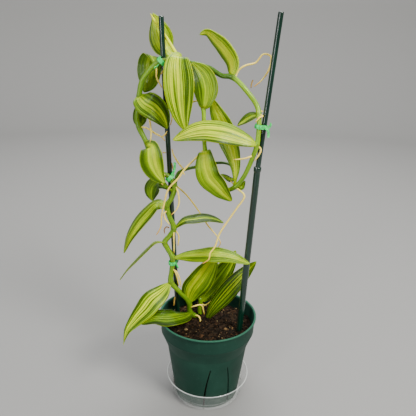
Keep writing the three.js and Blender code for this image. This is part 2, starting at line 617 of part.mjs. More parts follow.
// Soil: fills the pot, with an uneven top and plain holes for what stands in it
function soilBump(x, y) {
  return soil.bump * (Math.sin(x * 0.21 + 1.1) * Math.cos(y * 0.19) + 0.6 * Math.sin(x * 0.43 - y * 0.37));
}
const soilEdge = pot.collarFootRadius - pot.wall - gap;
const soilProfile = [
  [0, pot.baseZ + pot.floor + gap],
  [pot.baseRadius - pot.wall - gap - 0.1, pot.baseZ + pot.floor + gap],
  [pot.neckRadius - pot.wall - gap - 0.1, pot.neckZ],
  [soilEdge - 0.3, pot.collarFootZ - 0.6],
];
for (let k = 0; k < soil.rings; k += 1) soilProfile.push([(soilEdge - 0.6) * (1 - k / soil.rings), soil.topZ]);
soilProfile.push([0, soil.topZ]);
const soilGeometry = turned(soilProfile, 32);
const soilPlaces = soilGeometry.attributes.position;
for (let i = 0; i < soilPlaces.count; i += 1) {
  const [x, y, z] = [soilPlaces.getX(i), soilPlaces.getY(i), soilPlaces.getZ(i)];
  if (z > soil.topZ - 0.1) soilPlaces.setZ(i, z + soilBump(x, y));
}
const soilCuts = [
  toSolid(rod(stake.leftFoot, stake.leftTop, stake.radius + gap)),
  toSolid(rod(stake.rightFoot, stake.rightJoint, stake.sleeveRadius + gap)),
  vineClear,
  lowClear,
  toSolid(tube(smoothPath(leaves.leaf_low_right.spine.slice(0, 3)), leaf.stalkHalfWidth + 2, stem.sides, 5)),
  toSolid(tube(smoothPath(roots.root_base_tip), root.radius + gap + 0.1, root.sides, root.step)),
];
let soilSolid = toSolid(soilGeometry).translate([pot.offsetX, 0, 0]);
for (const cut of soilCuts) soilSolid = soilSolid.subtract(cut);
add('soil', toGeometry(mainBody(soilSolid)), finishes.soilMix);

export default plant;
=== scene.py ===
# Variegated vanilla vine on two stakes, in a slotted nursery pot that stands in a clear saucer.
# Points and sizes in the dictionaries are millimetres. Materials, node trees and lamps are in metres.
# +Z is up and -Y is the front.
import functools
import math
import random

import bmesh
import bpy
from mathutils import Matrix, Vector, noise


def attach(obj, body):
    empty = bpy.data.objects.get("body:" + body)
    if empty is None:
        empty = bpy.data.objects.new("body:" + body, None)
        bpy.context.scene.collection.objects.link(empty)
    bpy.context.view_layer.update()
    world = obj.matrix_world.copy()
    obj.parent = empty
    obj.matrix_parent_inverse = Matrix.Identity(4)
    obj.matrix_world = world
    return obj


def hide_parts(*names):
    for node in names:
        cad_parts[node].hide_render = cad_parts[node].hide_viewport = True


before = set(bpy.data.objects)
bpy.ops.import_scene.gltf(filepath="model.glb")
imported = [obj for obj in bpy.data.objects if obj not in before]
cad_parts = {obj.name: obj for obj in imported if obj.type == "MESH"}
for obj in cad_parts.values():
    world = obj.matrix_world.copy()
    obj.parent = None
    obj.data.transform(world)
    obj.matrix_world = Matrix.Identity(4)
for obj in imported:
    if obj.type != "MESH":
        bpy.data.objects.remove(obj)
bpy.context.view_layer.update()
mm = 0.001

# Camera, fitted to the photo: focal length in pixels of its square frame, tilt and roll in radians
view = {"focalPixels": 450.7, "framePixels": 416, "sensor": 36, "pitch": 0.3284, "roll": 0.0200,
        "place": (-3.16, -468.56, 398.74), "nearest": 10}


def placeCamera():
    pitch = view["pitch"]
    roll = view["roll"]
    forward = Vector((0, math.cos(pitch), -math.sin(pitch)))
    level = Vector((0, math.sin(pitch), math.cos(pitch)))
    side = Vector((1, 0, 0))
    right = math.cos(roll) * side + math.sin(roll) * level
    up = math.cos(roll) * level - math.sin(roll) * side
    turn = Matrix((right, up, -forward)).transposed().to_4x4()
    lens = bpy.data.cameras.new("camera")
    lens.sensor_fit = "HORIZONTAL"
    lens.sensor_width = view["sensor"]
    lens.lens = view["sensor"] * view["focalPixels"] / view["framePixels"]
    lens.clip_start = view["nearest"] * mm
    camera = bpy.data.objects.new("camera", lens)
    camera.matrix_world = Matrix.Translation(Vector(view["place"]) * mm) @ turn
    bpy.context.scene.collection.objects.link(camera)
    bpy.context.scene.camera = camera


placeCamera()


# Nodes: small helpers that keep the trees short
def feed(tree, socket, value):
    if isinstance(value, bpy.types.NodeSocket):
        tree.links.new(value, socket)
    else:
        socket.default_value = value


def put(tree, kind, inputs=None, **settings):
    node = tree.nodes.new(kind)
    for key, value in settings.items():
        setattr(node, key, value)
    for key, value in (inputs or {}).items():
        feed(tree, node.inputs[key], value)
    return node


def calc(tree, operation, *values, clamp=False):
    node = put(tree, "ShaderNodeMath", operation=operation, use_clamp=clamp)
    for socket, value in zip(node.inputs, values):
        feed(tree, socket, value)
    return node.outputs[0]


def times(tree, *values):
    return functools.reduce(lambda first, second: calc(tree, "MULTIPLY", first, second), values)


def largest(tree, *values):
    return functools.reduce(lambda first, second: calc(tree, "MAXIMUM", first, second), values)


def magnitude(tree, value):
    return calc(tree, "ABSOLUTE", value)


def calcVector(tree, operation, *values):
    node = put(tree, "ShaderNodeVectorMath", operation=operation)
    for socket, value in zip(node.inputs, values):
        feed(tree, socket, value)
    return node.outputs["Value" if operation == "DOT_PRODUCT" else "Vector"]


def scaled(tree, vector, factor):
    node = put(tree, "ShaderNodeVectorMath", {"Vector": vector, "Scale": factor}, operation="SCALE")
    return node.outputs["Vector"]


def upward(tree, height):
    return put(tree, "ShaderNodeCombineXYZ", {"Z": height}).outputs[0]


def fade(tree, value, low, high, first=0.0, last=1.0):
    inputs = {"Value": value, "From Min": low, "From Max": high, "To Min": first, "To Max": last}
    return put(tree, "ShaderNodeMapRange", inputs, interpolation_type="SMOOTHSTEP").outputs["Result"]


def mixed(tree, kind, share, first, second):
    # the mix node has its own pair of inputs and its own output for each kind of value
    firstIndex, secondIndex, result = {"FLOAT": (2, 3, 0), "VECTOR": (4, 5, 1), "RGBA": (6, 7, 2)}[kind]
    node = put(tree, "ShaderNodeMix", data_type=kind)
    for index, value in ((0, share), (firstIndex, first), (secondIndex, second)):
        feed(tree, node.inputs[index], value)
    return node.outputs[result]


def paint(code):
    parts = [int(code[i:i + 2], 16) / 255 for i in (0, 2, 4)]
    return (*[c / 12.92 if c <= 0.04045 else ((c + 0.055) / 1.055) ** 2.4 for c in parts], 1)


def tint(tree, color, mask, amount, code):
    # the colour with another one over it where the mask says so
    return mixed(tree, "RGBA", times(tree, mask, amount), color, paint(code))


def ramp(tree, value, stops):
    node = put(tree, "ShaderNodeValToRGB", {"Fac": value})
    while len(node.color_ramp.elements) < len(stops):
        node.color_ramp.elements.new(0.5)
    for element, (place, color) in zip(node.color_ramp.elements, stops):
        element.position = place
        element.color = paint(color)
    return node.outputs["Color"]


def noiseOf(tree, vector, scale, detail=3.0, roughness=0.5):
    inputs = {"Vector": vector, "Scale": scale, "Detail": detail, "Roughness": roughness}
    return put(tree, "ShaderNodeTexNoise", inputs).outputs["Fac"]


def streaksOf(tree, vector, stretch, detail=4.0, roughness=0.6):
    return noiseOf(tree, calcVector(tree, "MULTIPLY", vector, stretch), 1.0, detail, roughness)


def attribute(tree, name, output="Fac"):
    return put(tree, "ShaderNodeAttribute", attribute_name=name).outputs[output]


def objectSpot(tree):
    return tree.nodes.new("ShaderNodeTexCoord").outputs["Object"]


def heightOf(tree):
    return put(tree, "ShaderNodeSeparateXYZ", {"Vector": objectSpot(tree)}).outputs["Z"]


def newTree(name, kind, inputs, outputs):
    tree = bpy.data.node_groups.new(name, kind)
    for direction, sockets in (("INPUT", inputs), ("OUTPUT", outputs)):
        for label, socketKind, value in sockets:
            socket = tree.interface.new_socket(label, in_out=direction, socket_type="NodeSocket" + socketKind)
            if value is not None:
                socket.default_value = value
    return tree, tree.nodes.new("NodeGroupInput").outputs, tree.nodes.new("NodeGroupOutput").inputs


def useGroup(tree, group, inputs):
    node = tree.nodes.new("ShaderNodeGroup")
    node.node_tree = group
    for key, value in inputs.items():
        feed(tree, node.inputs[key], value)
    return node.outputs


def newMaterial(name, **plain):
    # constant values go on the shader's own sockets
    material = bpy.data.materials.new(name)
    material.use_nodes = True
    tree = material.node_tree
    shader = tree.nodes["Principled BSDF"]
    for key, value in plain.items():
        shader.inputs[key.replace("_", " ")].default_value = value
    return material, tree, shader.inputs


def cover(tree, shader, color, roughness, normal):
    for key, value in (("Base Color", color), ("Roughness", roughness), ("Normal", normal)):
        feed(tree, shader[key], value)


def bump(tree, height, distance, strength, before=None):
    inputs = {"Height": height, "Distance": distance, "Strength": strength}
    if before is not None:
        inputs["Normal"] = before
    return put(tree, "ShaderNodeBump", inputs).outputs["Normal"]


# Shader groups that several materials share
def makeStripeGroup():
    # Lengthwise stripes of a variegated leaf. Across runs from -1 to 1 between the margins, so that the bands
    # close up at both ends of the leaf with it.
    tree, ask, give = newTree("Leaf stripes", "ShaderNodeTree", [
        ("Across", "Float", 0.0), ("Along", "Float", 0.5), ("Seed", "Float", 0.0), ("Yellow", "Float", 0.5),
        ("Middle", "Float", 0.0), ("Spread", "Float", 0.7), ("Stripe", "Float", 0.7),
    ], [("Tone", "Float", None), ("Veins", "Float", None), ("Edge", "Float", None)])

    def bands(count, stretch, offset, detail):
        spot = put(tree, "ShaderNodeCombineXYZ", {
            "X": times(tree, ask["Across"], count), "Y": times(tree, ask["Along"], stretch),
            "Z": calc(tree, "MULTIPLY_ADD", ask["Seed"], 3.7, offset)}).outputs[0]
        return calc(tree, "SUBTRACT", noiseOf(tree, spot, 1.0, detail), 0.5)

    broad = bands(count=1.9, stretch=0.5, offset=0.0, detail=1.0)
    narrow = bands(count=10.0, stretch=0.9, offset=5.0, detail=2.0)
    fine = bands(count=30.0, stretch=1.6, offset=9.0, detail=1.0)
    away = magnitude(tree, calc(tree, "SUBTRACT", ask["Across"], ask["Middle"]))
    away = calc(tree, "DIVIDE", away, ask["Spread"])
    tone = calc(tree, "ADD", ask["Yellow"], fade(tree, away, 0.1, 1.1, 0.22, -0.26))
    tone = calc(tree, "ADD", tone, broad)
    tone = calc(tree, "ADD", tone, times(tree, narrow, 3.0, ask["Stripe"]))
    feed(tree, give["Tone"], calc(tree, "MULTIPLY_ADD", fine, 0.7, tone, clamp=True))
    feed(tree, give["Veins"], calc(tree, "ADD", calc(tree, "MULTIPLY_ADD", fine, 0.5, 0.5), narrow))
    # a thin pale band along the margins: a painted highlight, as leaf edges catch the light
    feed(tree, give["Edge"], fade(tree, magnitude(tree, ask["Across"]), 0.93, 0.99))
    return tree


def makeSpeckGroup():
    # small spots, as of dust, pores or scars, with a soft mottle under them
    tree, ask, give = newTree("Specks", "ShaderNodeTree", [
        ("Vector", "Vector", None), ("Size", "Float", 400.0), ("Amount", "Float", 0.3),
        ("Seed", "Float", 0.0),
    ], [("Specks", "Float", None), ("Mottle", "Float", None)])
    shift = put(tree, "ShaderNodeCombineXYZ", {"X": ask["Seed"]}).outputs[0]
    spot = calcVector(tree, "ADD", ask["Vector"], shift)
    cells = put(tree, "ShaderNodeTexVoronoi", {"Vector": spot, "Scale": ask["Size"], "Randomness": 1.0})
    choice = put(tree, "ShaderNodeSeparateColor", {"Color": cells.outputs["Color"]}).outputs["Red"]
    chosen = calc(tree, "LESS_THAN", choice, ask["Amount"])
    dot = fade(tree, cells.outputs["Distance"], 0.12, 0.34, 1.0, 0.0)
    feed(tree, give["Specks"], times(tree, chosen, dot))
    feed(tree, give["Mottle"], noiseOf(tree, spot, times(tree, ask["Size"], 0.12), 4.0, 0.6))
    return tree


leafStripes = makeStripeGroup()
specks = makeSpeckGroup()


def speckle(tree, size, amount, seed):
    inputs = {"Vector": objectSpot(tree), "Size": size, "Amount": amount, "Seed": seed}
    return useGroup(tree, specks, inputs)


# Materials, with the heights at which the plastics change: the pot's dusty foot and pale lip, the saucer's
# rim, the film and the grit at its foot, and its three steps with the reach of each. The pot's lip is partly
# a painted highlight, and the saucer's rim and steps are painted highlights.
levels = {"potDust": (0.03, 0.004), "potLipPaleAndHighlight": (0.1056, 0.1068), "saucerRimHighlight": (0.0255, 0.0262),
          "film": (0.012, 0.003), "grit": (0.02, 0.004),
          "steps": ((0.0040, 0.0012), (0.0091, 0.0010), (0.0004, 0.0014))}


def leafMaterial(name, deep, green, lime, pale, coat):
    material, tree, shader = newMaterial(name, Specular_IOR_Level=0.15, Coat_Weight=coat, Coat_Roughness=0.15,
                                         Subsurface_Weight=0.1, Subsurface_Scale=0.002)
    shader["Subsurface Radius"].default_value = (0.7, 1.0, 0.05)
    asked = {}
    for key in ("Across", "Along", "Seed", "Yellow", "Middle", "Spread", "Stripe"):
        asked[key] = attribute(tree, key.lower())
    marks = useGroup(tree, leafStripes, asked)
    grains = speckle(tree, size=900.0, amount=0.12, seed=2.0)
    under = attribute(tree, "under")
    rib = fade(tree, magnitude(tree, asked["Across"]), 0.015, 0.06, 1.0, 0.0)
    foot = fade(tree, asked["Along"], 0.02, 0.14, 0.8, 0.0)
    tip = fade(tree, asked["Along"], 0.93, 1.0, 0.0, 0.6)
    color = ramp(tree, marks["Tone"], [(0.08, deep), (0.38, green), (0.6, lime), (0.88, pale)])
    color = tint(tree, color, fade(tree, grains["Mottle"], 0.4, 0.7), 0.18, deep)
    color = tint(tree, color, grains["Specks"], 0.12, pale)
    color = tint(tree, color, rib, 0.35, lime)
    # the pale margin band is a painted highlight
    color = tint(tree, color, marks["Edge"], 0.5, pale)
    color = tint(tree, color, largest(tree, foot, tip), 1.0, lime)
    color = tint(tree, color, under, 0.3, "5f8a14")
    rough = calc(tree, "MULTIPLY_ADD", grains["Mottle"], 0.2, 0.22)
    rough = calc(tree, "ADD", rough, times(tree, under, 0.15))
    veins = bump(tree, marks["Veins"], distance=0.0008, strength=0.5)
    grain = noiseOf(tree, objectSpot(tree), 1500.0)
    cover(tree, shader, color, rough, bump(tree, grain, distance=0.0001, strength=0.2, before=veins))
    return material


def stemMaterial():
    # "youth" runs from the old stem to the growing tip, and "scar" rings each joint
    material, tree, shader = newMaterial("stemSkin", Specular_IOR_Level=0.3, Coat_Weight=0.2,
                                         Coat_Roughness=0.15, Subsurface_Weight=0.08, Subsurface_Scale=0.002)
    streaks = streaksOf(tree, attribute(tree, "skin", "Vector"), (5.0, 5.0, 26.0))
    grains = speckle(tree, size=700.0, amount=0.2, seed=5.0)
    old = ramp(tree, streaks, [(0.3, "1e3a00"), (0.5, "325a00"), (0.7, "528000")])
    young = ramp(tree, streaks, [(0.3, "649a00"), (0.5, "8cb800"), (0.7, "b0d400")])
    color = mixed(tree, "RGBA", attribute(tree, "youth"), old, young)
    color = tint(tree, color, grains["Specks"], 0.25, "a4cc30")
    color = tint(tree, color, fade(tree, grains["Mottle"], 0.45, 0.75), 0.3, "35500c")
    color = tint(tree, color, attribute(tree, "scar"), 0.55, "4d5a1c")
    rough = calc(tree, "MULTIPLY_ADD", grains["Mottle"], 0.2, 0.3)
    ridges = bump(tree, streaks, distance=0.0008, strength=0.3)
    scars = bump(tree, grains["Specks"], distance=0.0001, strength=0.4, before=ridges)
    cover(tree, shader, color, rough, scars)
    return material


def rootMaterial():
    # "green" marks the young start of a root and "dry" a withered one
    material, tree, shader = newMaterial("rootSkin", Specular_IOR_Level=0.35, Subsurface_Weight=0.1,
                                         Subsurface_Scale=0.0015)
    streaks = streaksOf(tree, attribute(tree, "skin", "Vector"), (2.5, 2.5, 60.0), roughness=0.65)
    grains = speckle(tree, size=1400.0, amount=0.35, seed=8.0)
    color = ramp(tree, streaks, [(0.25, "d0a63c"), (0.42, "f2d04c"), (0.58, "fde468"), (0.75, "fff48c")])
    color = tint(tree, color, fade(tree, grains["Mottle"], 0.5, 0.8), 0.35, "bf923e")
    color = tint(tree, color, grains["Specks"], 0.25, "8a6a2c")
    color = tint(tree, color, attribute(tree, "green"), 0.7, "a9b84a")
    color = tint(tree, color, fade(tree, attribute(tree, "along"), 0.86, 0.97), 0.7, "b8702a")
    color = tint(tree, color, attribute(tree, "dry"), 0.9, "6e3a1c")
    rough = calc(tree, "MULTIPLY_ADD", grains["Mottle"], 0.25, 0.5)
    relief = calc(tree, "ADD", streaks, grains["Mottle"])
    cover(tree, shader, color, rough, bump(tree, relief, distance=0.0004, strength=0.5))
    return material


def potMaterial():
    # satin plastic, with dust near the foot; the paler lip is its lighter plastic and a painted highlight
    material, tree, shader = newMaterial("potPlastic", Specular_IOR_Level=0.1)
    spot = objectSpot(tree)
    height = heightOf(tree)
    grains = speckle(tree, size=500.0, amount=0.1, seed=1.0)
    scuffs = fade(tree, streaksOf(tree, spot, (260.0, 260.0, 26.0), 5.0, 0.65), 0.6, 0.85)
    dust = times(tree, fade(tree, height, *levels["potDust"]), fade(tree, grains["Mottle"], 0.3, 0.7))
    color = ramp(tree, noiseOf(tree, spot, 28.0, 4.0), [(0.3, "18342a"), (0.55, "1c3b30"), (0.75, "224337")])
    color = tint(tree, color, scuffs, 0.18, "3f6a57")
    color = tint(tree, color, grains["Specks"], 0.12, "6c8476")
    # the pale lip: the plastic's lighter edge with a painted highlight over it
    color = tint(tree, color, fade(tree, height, *levels["potLipPaleAndHighlight"]), 0.4, "3f7a60")
    color = tint(tree, color, dust, 0.2, "6a7466")
    rough = calc(tree, "MULTIPLY_ADD", noiseOf(tree, spot, 60.0, 5.0), 0.2, 0.4)
    grain = bump(tree, noiseOf(tree, spot, 1300.0, 2.0), distance=0.0001, strength=0.3)
    waves = streaksOf(tree, spot, (20.0, 20.0, 90.0), 2.0, 0.5)
    cover(tree, shader, color, rough, bump(tree, waves, distance=0.0008, strength=0.2, before=grain))
    return material


# a painted highlight along one of the saucer's steps
def paintedStepHighlight(tree, height, place, reach):
    away = magnitude(tree, calc(tree, "SUBTRACT", height, place))
    return fade(tree, away, reach * 0.4, reach, 1.0, 0.0)


def saucerMaterial():
    # thin clear plastic: nearly all light passes; the rim and the foot's steps carry painted highlights
    material, tree, shader = newMaterial("saucerPlastic", Specular_IOR_Level=1.0, Coat_Weight=0.6,
                                         Coat_Roughness=0.05)
    grains = speckle(tree, size=260.0, amount=0.2, seed=3.0)
    height = heightOf(tree)
    # the rim and the steps are painted whitish and more opaque: painted highlights
    rim = fade(tree, height, *levels["saucerRimHighlight"])
    steps = [paintedStepHighlight(tree, height, *step) for step in levels["steps"]]
    film = times(tree, fade(tree, grains["Mottle"], 0.5, 0.72), fade(tree, height, *levels["film"]))
    grit = times(tree, grains["Specks"], fade(tree, height, *levels["grit"]))
    color = tint(tree, paint("eef2f0"), film, 1.0, "8d7c66")
    color = tint(tree, color, grit, 1.0, "5a4630")
    # what shows of the saucer: the painted rim and step highlights, and the real film and grit
    solid = largest(tree, times(tree, rim, 0.5), times(tree, largest(tree, *steps), 0.36),
                    times(tree, film, 0.42), times(tree, grit, 0.6))
    feed(tree, shader["Alpha"], calc(tree, "ADD", solid, 0.08, clamp=True))
    rough = calc(tree, "MULTIPLY_ADD", film, 0.4, 0.1)
    cover(tree, shader, color, rough, bump(tree, grains["Mottle"], distance=0.0006, strength=0.15))
    return material


def soilMaterial():
    material, tree, shader = newMaterial("soilMix", Specular_IOR_Level=0.1)
    coarse = noiseOf(tree, objectSpot(tree), 190.0, 6.0, 0.68)
    grains = speckle(tree, size=620.0, amount=0.22, seed=4.0)
    color = ramp(tree, coarse, [(0.32, "0c0a07"), (0.5, "1f1810"), (0.64, "38291b"), (0.82, "5a4730")])
    color = tint(tree, color, grains["Specks"], 0.3, "6e5636")
    rough = calc(tree, "MULTIPLY_ADD", coarse, 0.25, 0.7)
    clods = bump(tree, coarse, distance=0.003, strength=0.9)
    crumbs = bump(tree, grains["Specks"], distance=0.0008, strength=0.6, before=clods)
    cover(tree, shader, color, rough, crumbs)
    return material


def barkMaterial():
    # "tone" is one random value for each chip
    material, tree, shader = newMaterial("barkChips", Specular_IOR_Level=0.1)
    grain = streaksOf(tree, objectSpot(tree), (500.0, 900.0, 900.0))
    color = ramp(tree, attribute(tree, "tone"), [
        (0.0, "090705"), (0.5, "1e160e"), (0.8, "36261a"), (0.93, "543a24"), (0.985, "755c3a"),
        (1.0, "a8966c")])
    color = tint(tree, color, fade(tree, grain, 0.4, 0.7), 0.5, "0c0805")
    rough = calc(tree, "MULTIPLY_ADD", grain, 0.3, 0.6)
    cover(tree, shader, color, rough, bump(tree, grain, distance=0.0006, strength=0.7))
    return material


def stakeMaterial():
    material, tree, shader = newMaterial("stakeCoat", Specular_IOR_Level=0.3, Coat_Weight=1.0,
                                         Coat_Roughness=0.05)
    grains = speckle(tree, size=380.0, amount=0.12, seed=6.0)
    streaks = streaksOf(tree, objectSpot(tree), (420.0, 420.0, 22.0))
    color = ramp(tree, streaks, [(0.3, "011c12"), (0.55, "02271a"), (0.78, "063626")])
    color = tint(tree, color, fade(tree, streaks, 0.64, 0.85), 0.2, "2d5650")
    color = tint(tree, color, grains["Specks"], 0.12, "6f8a80")
    rough = calc(tree, "MULTIPLY_ADD", grains["Mottle"], 0.25, 0.18)
    cover(tree, shader, color, rough, bump(tree, streaks, distance=0.0004, strength=0.2))
    return material


def tieMaterial():
    material, tree, shader = newMaterial("tieTape", Specular_IOR_Level=0.4)
    creases = noiseOf(tree, objectSpot(tree), 420.0, 4.0, 0.6)
    color = ramp(tree, creases, [(0.3, "089a3c"), (0.5, "18d05a"), (0.72, "50f484")])
    rough = calc(tree, "MULTIPLY_ADD", creases, 0.25, 0.4)
    cover(tree, shader, color, rough, bump(tree, creases, distance=0.0004, strength=0.5))
    return material


materials = {
    "leaf_young": leafMaterial("leafYoung", "365200", "749600", "a6c000", "d4de00", 0.08),
    "leaf_green": leafMaterial("leafGreen", "283e00", "5a7e00", "8aa800", "b8c800", 0.08),
    "leaf_dark": leafMaterial("leafDark", "203400", "446600", "6e8e00", "a2b600", 0.1),
    "stem": stemMaterial(),
    "root": rootMaterial(),
    "pot": potMaterial(),
    "saucer": saucerMaterial(),
    "soil": soilMaterial(),
    "bark": barkMaterial(),
    "stake": stakeMaterial(),
    "tie": tieMaterial(),
}
print("materials made:", len(materials))


# Paths and plain meshes
def smoothLine(points, count, steps=20):
    # a centripetal line through the points with evenly spaced rows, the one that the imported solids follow
    knots = [Vector(p) * mm for p in points]
    knots = [2 * knots[0] - knots[1]] + knots + [2 * knots[-1] - knots[-2]]
    dense = []
    for a, b, c, d in zip(knots, knots[1:], knots[2:], knots[3:]):
        t1 = (b - a).length ** 0.5
        t2 = t1 + (c - b).length ** 0.5
        t3 = t2 + (d - c).length ** 0.5
        for k in range(steps):
            t = t1 + (t2 - t1) * k / steps
            ab = a.lerp(b, t / t1)
            bc = b.lerp(c, (t - t1) / (t2 - t1))
            cd = c.lerp(d, (t - t2) / (t3 - t2))
            dense.append(ab.lerp(bc, t / t2).lerp(bc.lerp(cd, (t - t1) / (t3 - t1)), (t - t1) / (t2 - t1)))
    dense.append(knots[-2])
    lengths = [0.0]
    for a, b in zip(dense, dense[1:]):
        lengths.append(lengths[-1] + (b - a).length)
    line = []
    k = 0
    for i in range(count):
        goal = lengths[-1] * i / (count - 1)
        while k < len(dense) - 2 and lengths[k + 1] < goal:
            k += 1
        share = (goal - lengths[k]) / max(lengths[k + 1] - lengths[k], 1e-12)
        line.append(dense[k].lerp(dense[k + 1], share))
    return line, lengths[-1]


def newPiece(name, mesh):
    piece = bpy.data.objects.new(name, mesh)
    bpy.context.scene.collection.objects.link(piece)
    return piece


def meshOf(name, body, *skins):
    mesh = bpy.data.meshes.new(name)
    body.to_mesh(mesh)
    body.free()
    for skin in skins:
        mesh.materials.append(skin)
    return mesh


def linePiece(name, lines, values):
    # lines of points whose named values the node trees read
    points = []
    edges = []
    for line in lines:
        first = len(points)
        edges += [(first + i, first + i + 1) for i in range(len(line) - 1)]
        points += line
    mesh = bpy.data.meshes.new(name)
    mesh.from_pydata(points, edges, [])
    for key, numbers in values.items():
        mesh.attributes.new(key, "FLOAT", "POINT").data.foreach_set("value", numbers)
    return newPiece(name, mesh)


def roundEnd(share, least):
    # how full a line's round end is, from its tip at 0 to its whole width at 1
    return least + (1 - least) * math.sqrt(1 - (1 - share) ** 2)


def runTree(piece, tree, values):
    # the tree's result becomes the piece's own plain mesh
    modifier = piece.modifiers.new("Make", "NODES")
    modifier.node_group = tree
    for item in tree.interface.items_tree:
        if item.in_out == "INPUT" and item.name in values:
            modifier[item.identifier] = values[item.name]
    graph = bpy.context.evaluated_depsgraph_get()
    result = piece.evaluated_get(graph)
    mesh = bpy.data.meshes.new_from_object(result, preserve_all_data_layers=True, depsgraph=graph)
    piece.modifiers.remove(modifier)
    piece.data = mesh
    mesh.name = piece.name
    return piece


def joined(name, pieces):
    # several plain pieces fused into one object
    first = pieces[0]
    with bpy.context.temp_override(active_object=first, selected_editable_objects=pieces, object=first):
        bpy.ops.object.join()
    first.name = name
    return first


def nodeName(name):
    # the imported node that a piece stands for, as leaf_pot_left for leafPotLeft
    return "".join("_" + letter.lower() if letter.isupper() else letter for letter in name)


def ride(piece, slot, *nodes):
    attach(piece, "root")
    if nodes:
        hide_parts(*nodes)


# Geometry trees
def store(tree, geometry, name, value, kind="FLOAT", domain="POINT"):
    inputs = {"Geometry": geometry, "Name": name, "Value": value}
    return put(tree, "GeometryNodeStoreNamedAttribute", inputs, data_type=kind, domain=domain).outputs[0]


def stored(tree, name, kind="FLOAT"):
    return put(tree, "GeometryNodeInputNamedAttribute", {"Name": name}, data_type=kind).outputs["Attribute"]


def endTree(tree, geometry, ask, give):
    # every tree ends as real geometry with its material
    real = put(tree, "GeometryNodeRealizeInstances", {"Geometry": geometry}).outputs[0]
    clad = put(tree, "GeometryNodeSetMaterial", {"Geometry": real, "Material": ask["Skin"]}).outputs[0]
    tree.links.new(clad, give["Mesh"])
    return tree


def makeTubeTree():
    # a round skin along a line, whose radius is the line's own "thick" value
    tree, ask, give = newTree("Swept tube", "GeometryNodeTree", [
        ("Path", "Geometry", None), ("Sides", "Int", 16), ("Lump Height", "Float", 0.0),
        ("Lump Scale", "Float", 300.0), ("Skin", "Material", None),
    ], [("Mesh", "Geometry", None)])
    place = tree.nodes.new("GeometryNodeInputPosition").outputs[0]
    normal = tree.nodes.new("GeometryNodeInputNormal").outputs[0]
    length = tree.nodes.new("GeometryNodeSplineParameter").outputs["Length"]
    ring = put(tree, "GeometryNodeCurvePrimitiveCircle", {
        "Resolution": ask["Sides"], "Radius": 1.0}).outputs["Curve"]
    ring = store(tree, ring, "ring", place, "FLOAT_VECTOR")
    curve = put(tree, "GeometryNodeMeshToCurve", {"Mesh": ask["Path"]}).outputs["Curve"]
    curve = store(tree, curve, "reach", length)
    tube = put(tree, "GeometryNodeCurveToMesh", {
        "Curve": curve, "Profile Curve": ring, "Scale": stored(tree, "thick"), "Fill Caps": True}).outputs[0]
    lump = calc(tree, "SUBTRACT", noiseOf(tree, place, ask["Lump Scale"], 2.0), 0.5)
    shift = scaled(tree, normal, times(tree, lump, ask["Lump Height"]))
    tube = put(tree, "GeometryNodeSetPosition", {"Geometry": tube, "Offset": shift}).outputs[0]
    skin = calcVector(tree, "ADD", stored(tree, "ring", "FLOAT_VECTOR"), upward(tree, stored(tree, "reach")))
    tube = store(tree, tube, "skin", skin, "FLOAT_VECTOR")
    tube = put(tree, "GeometryNodeSetShadeSmooth", {"Geometry": tube}).outputs[0]
    return endTree(tree, tube, ask, give)


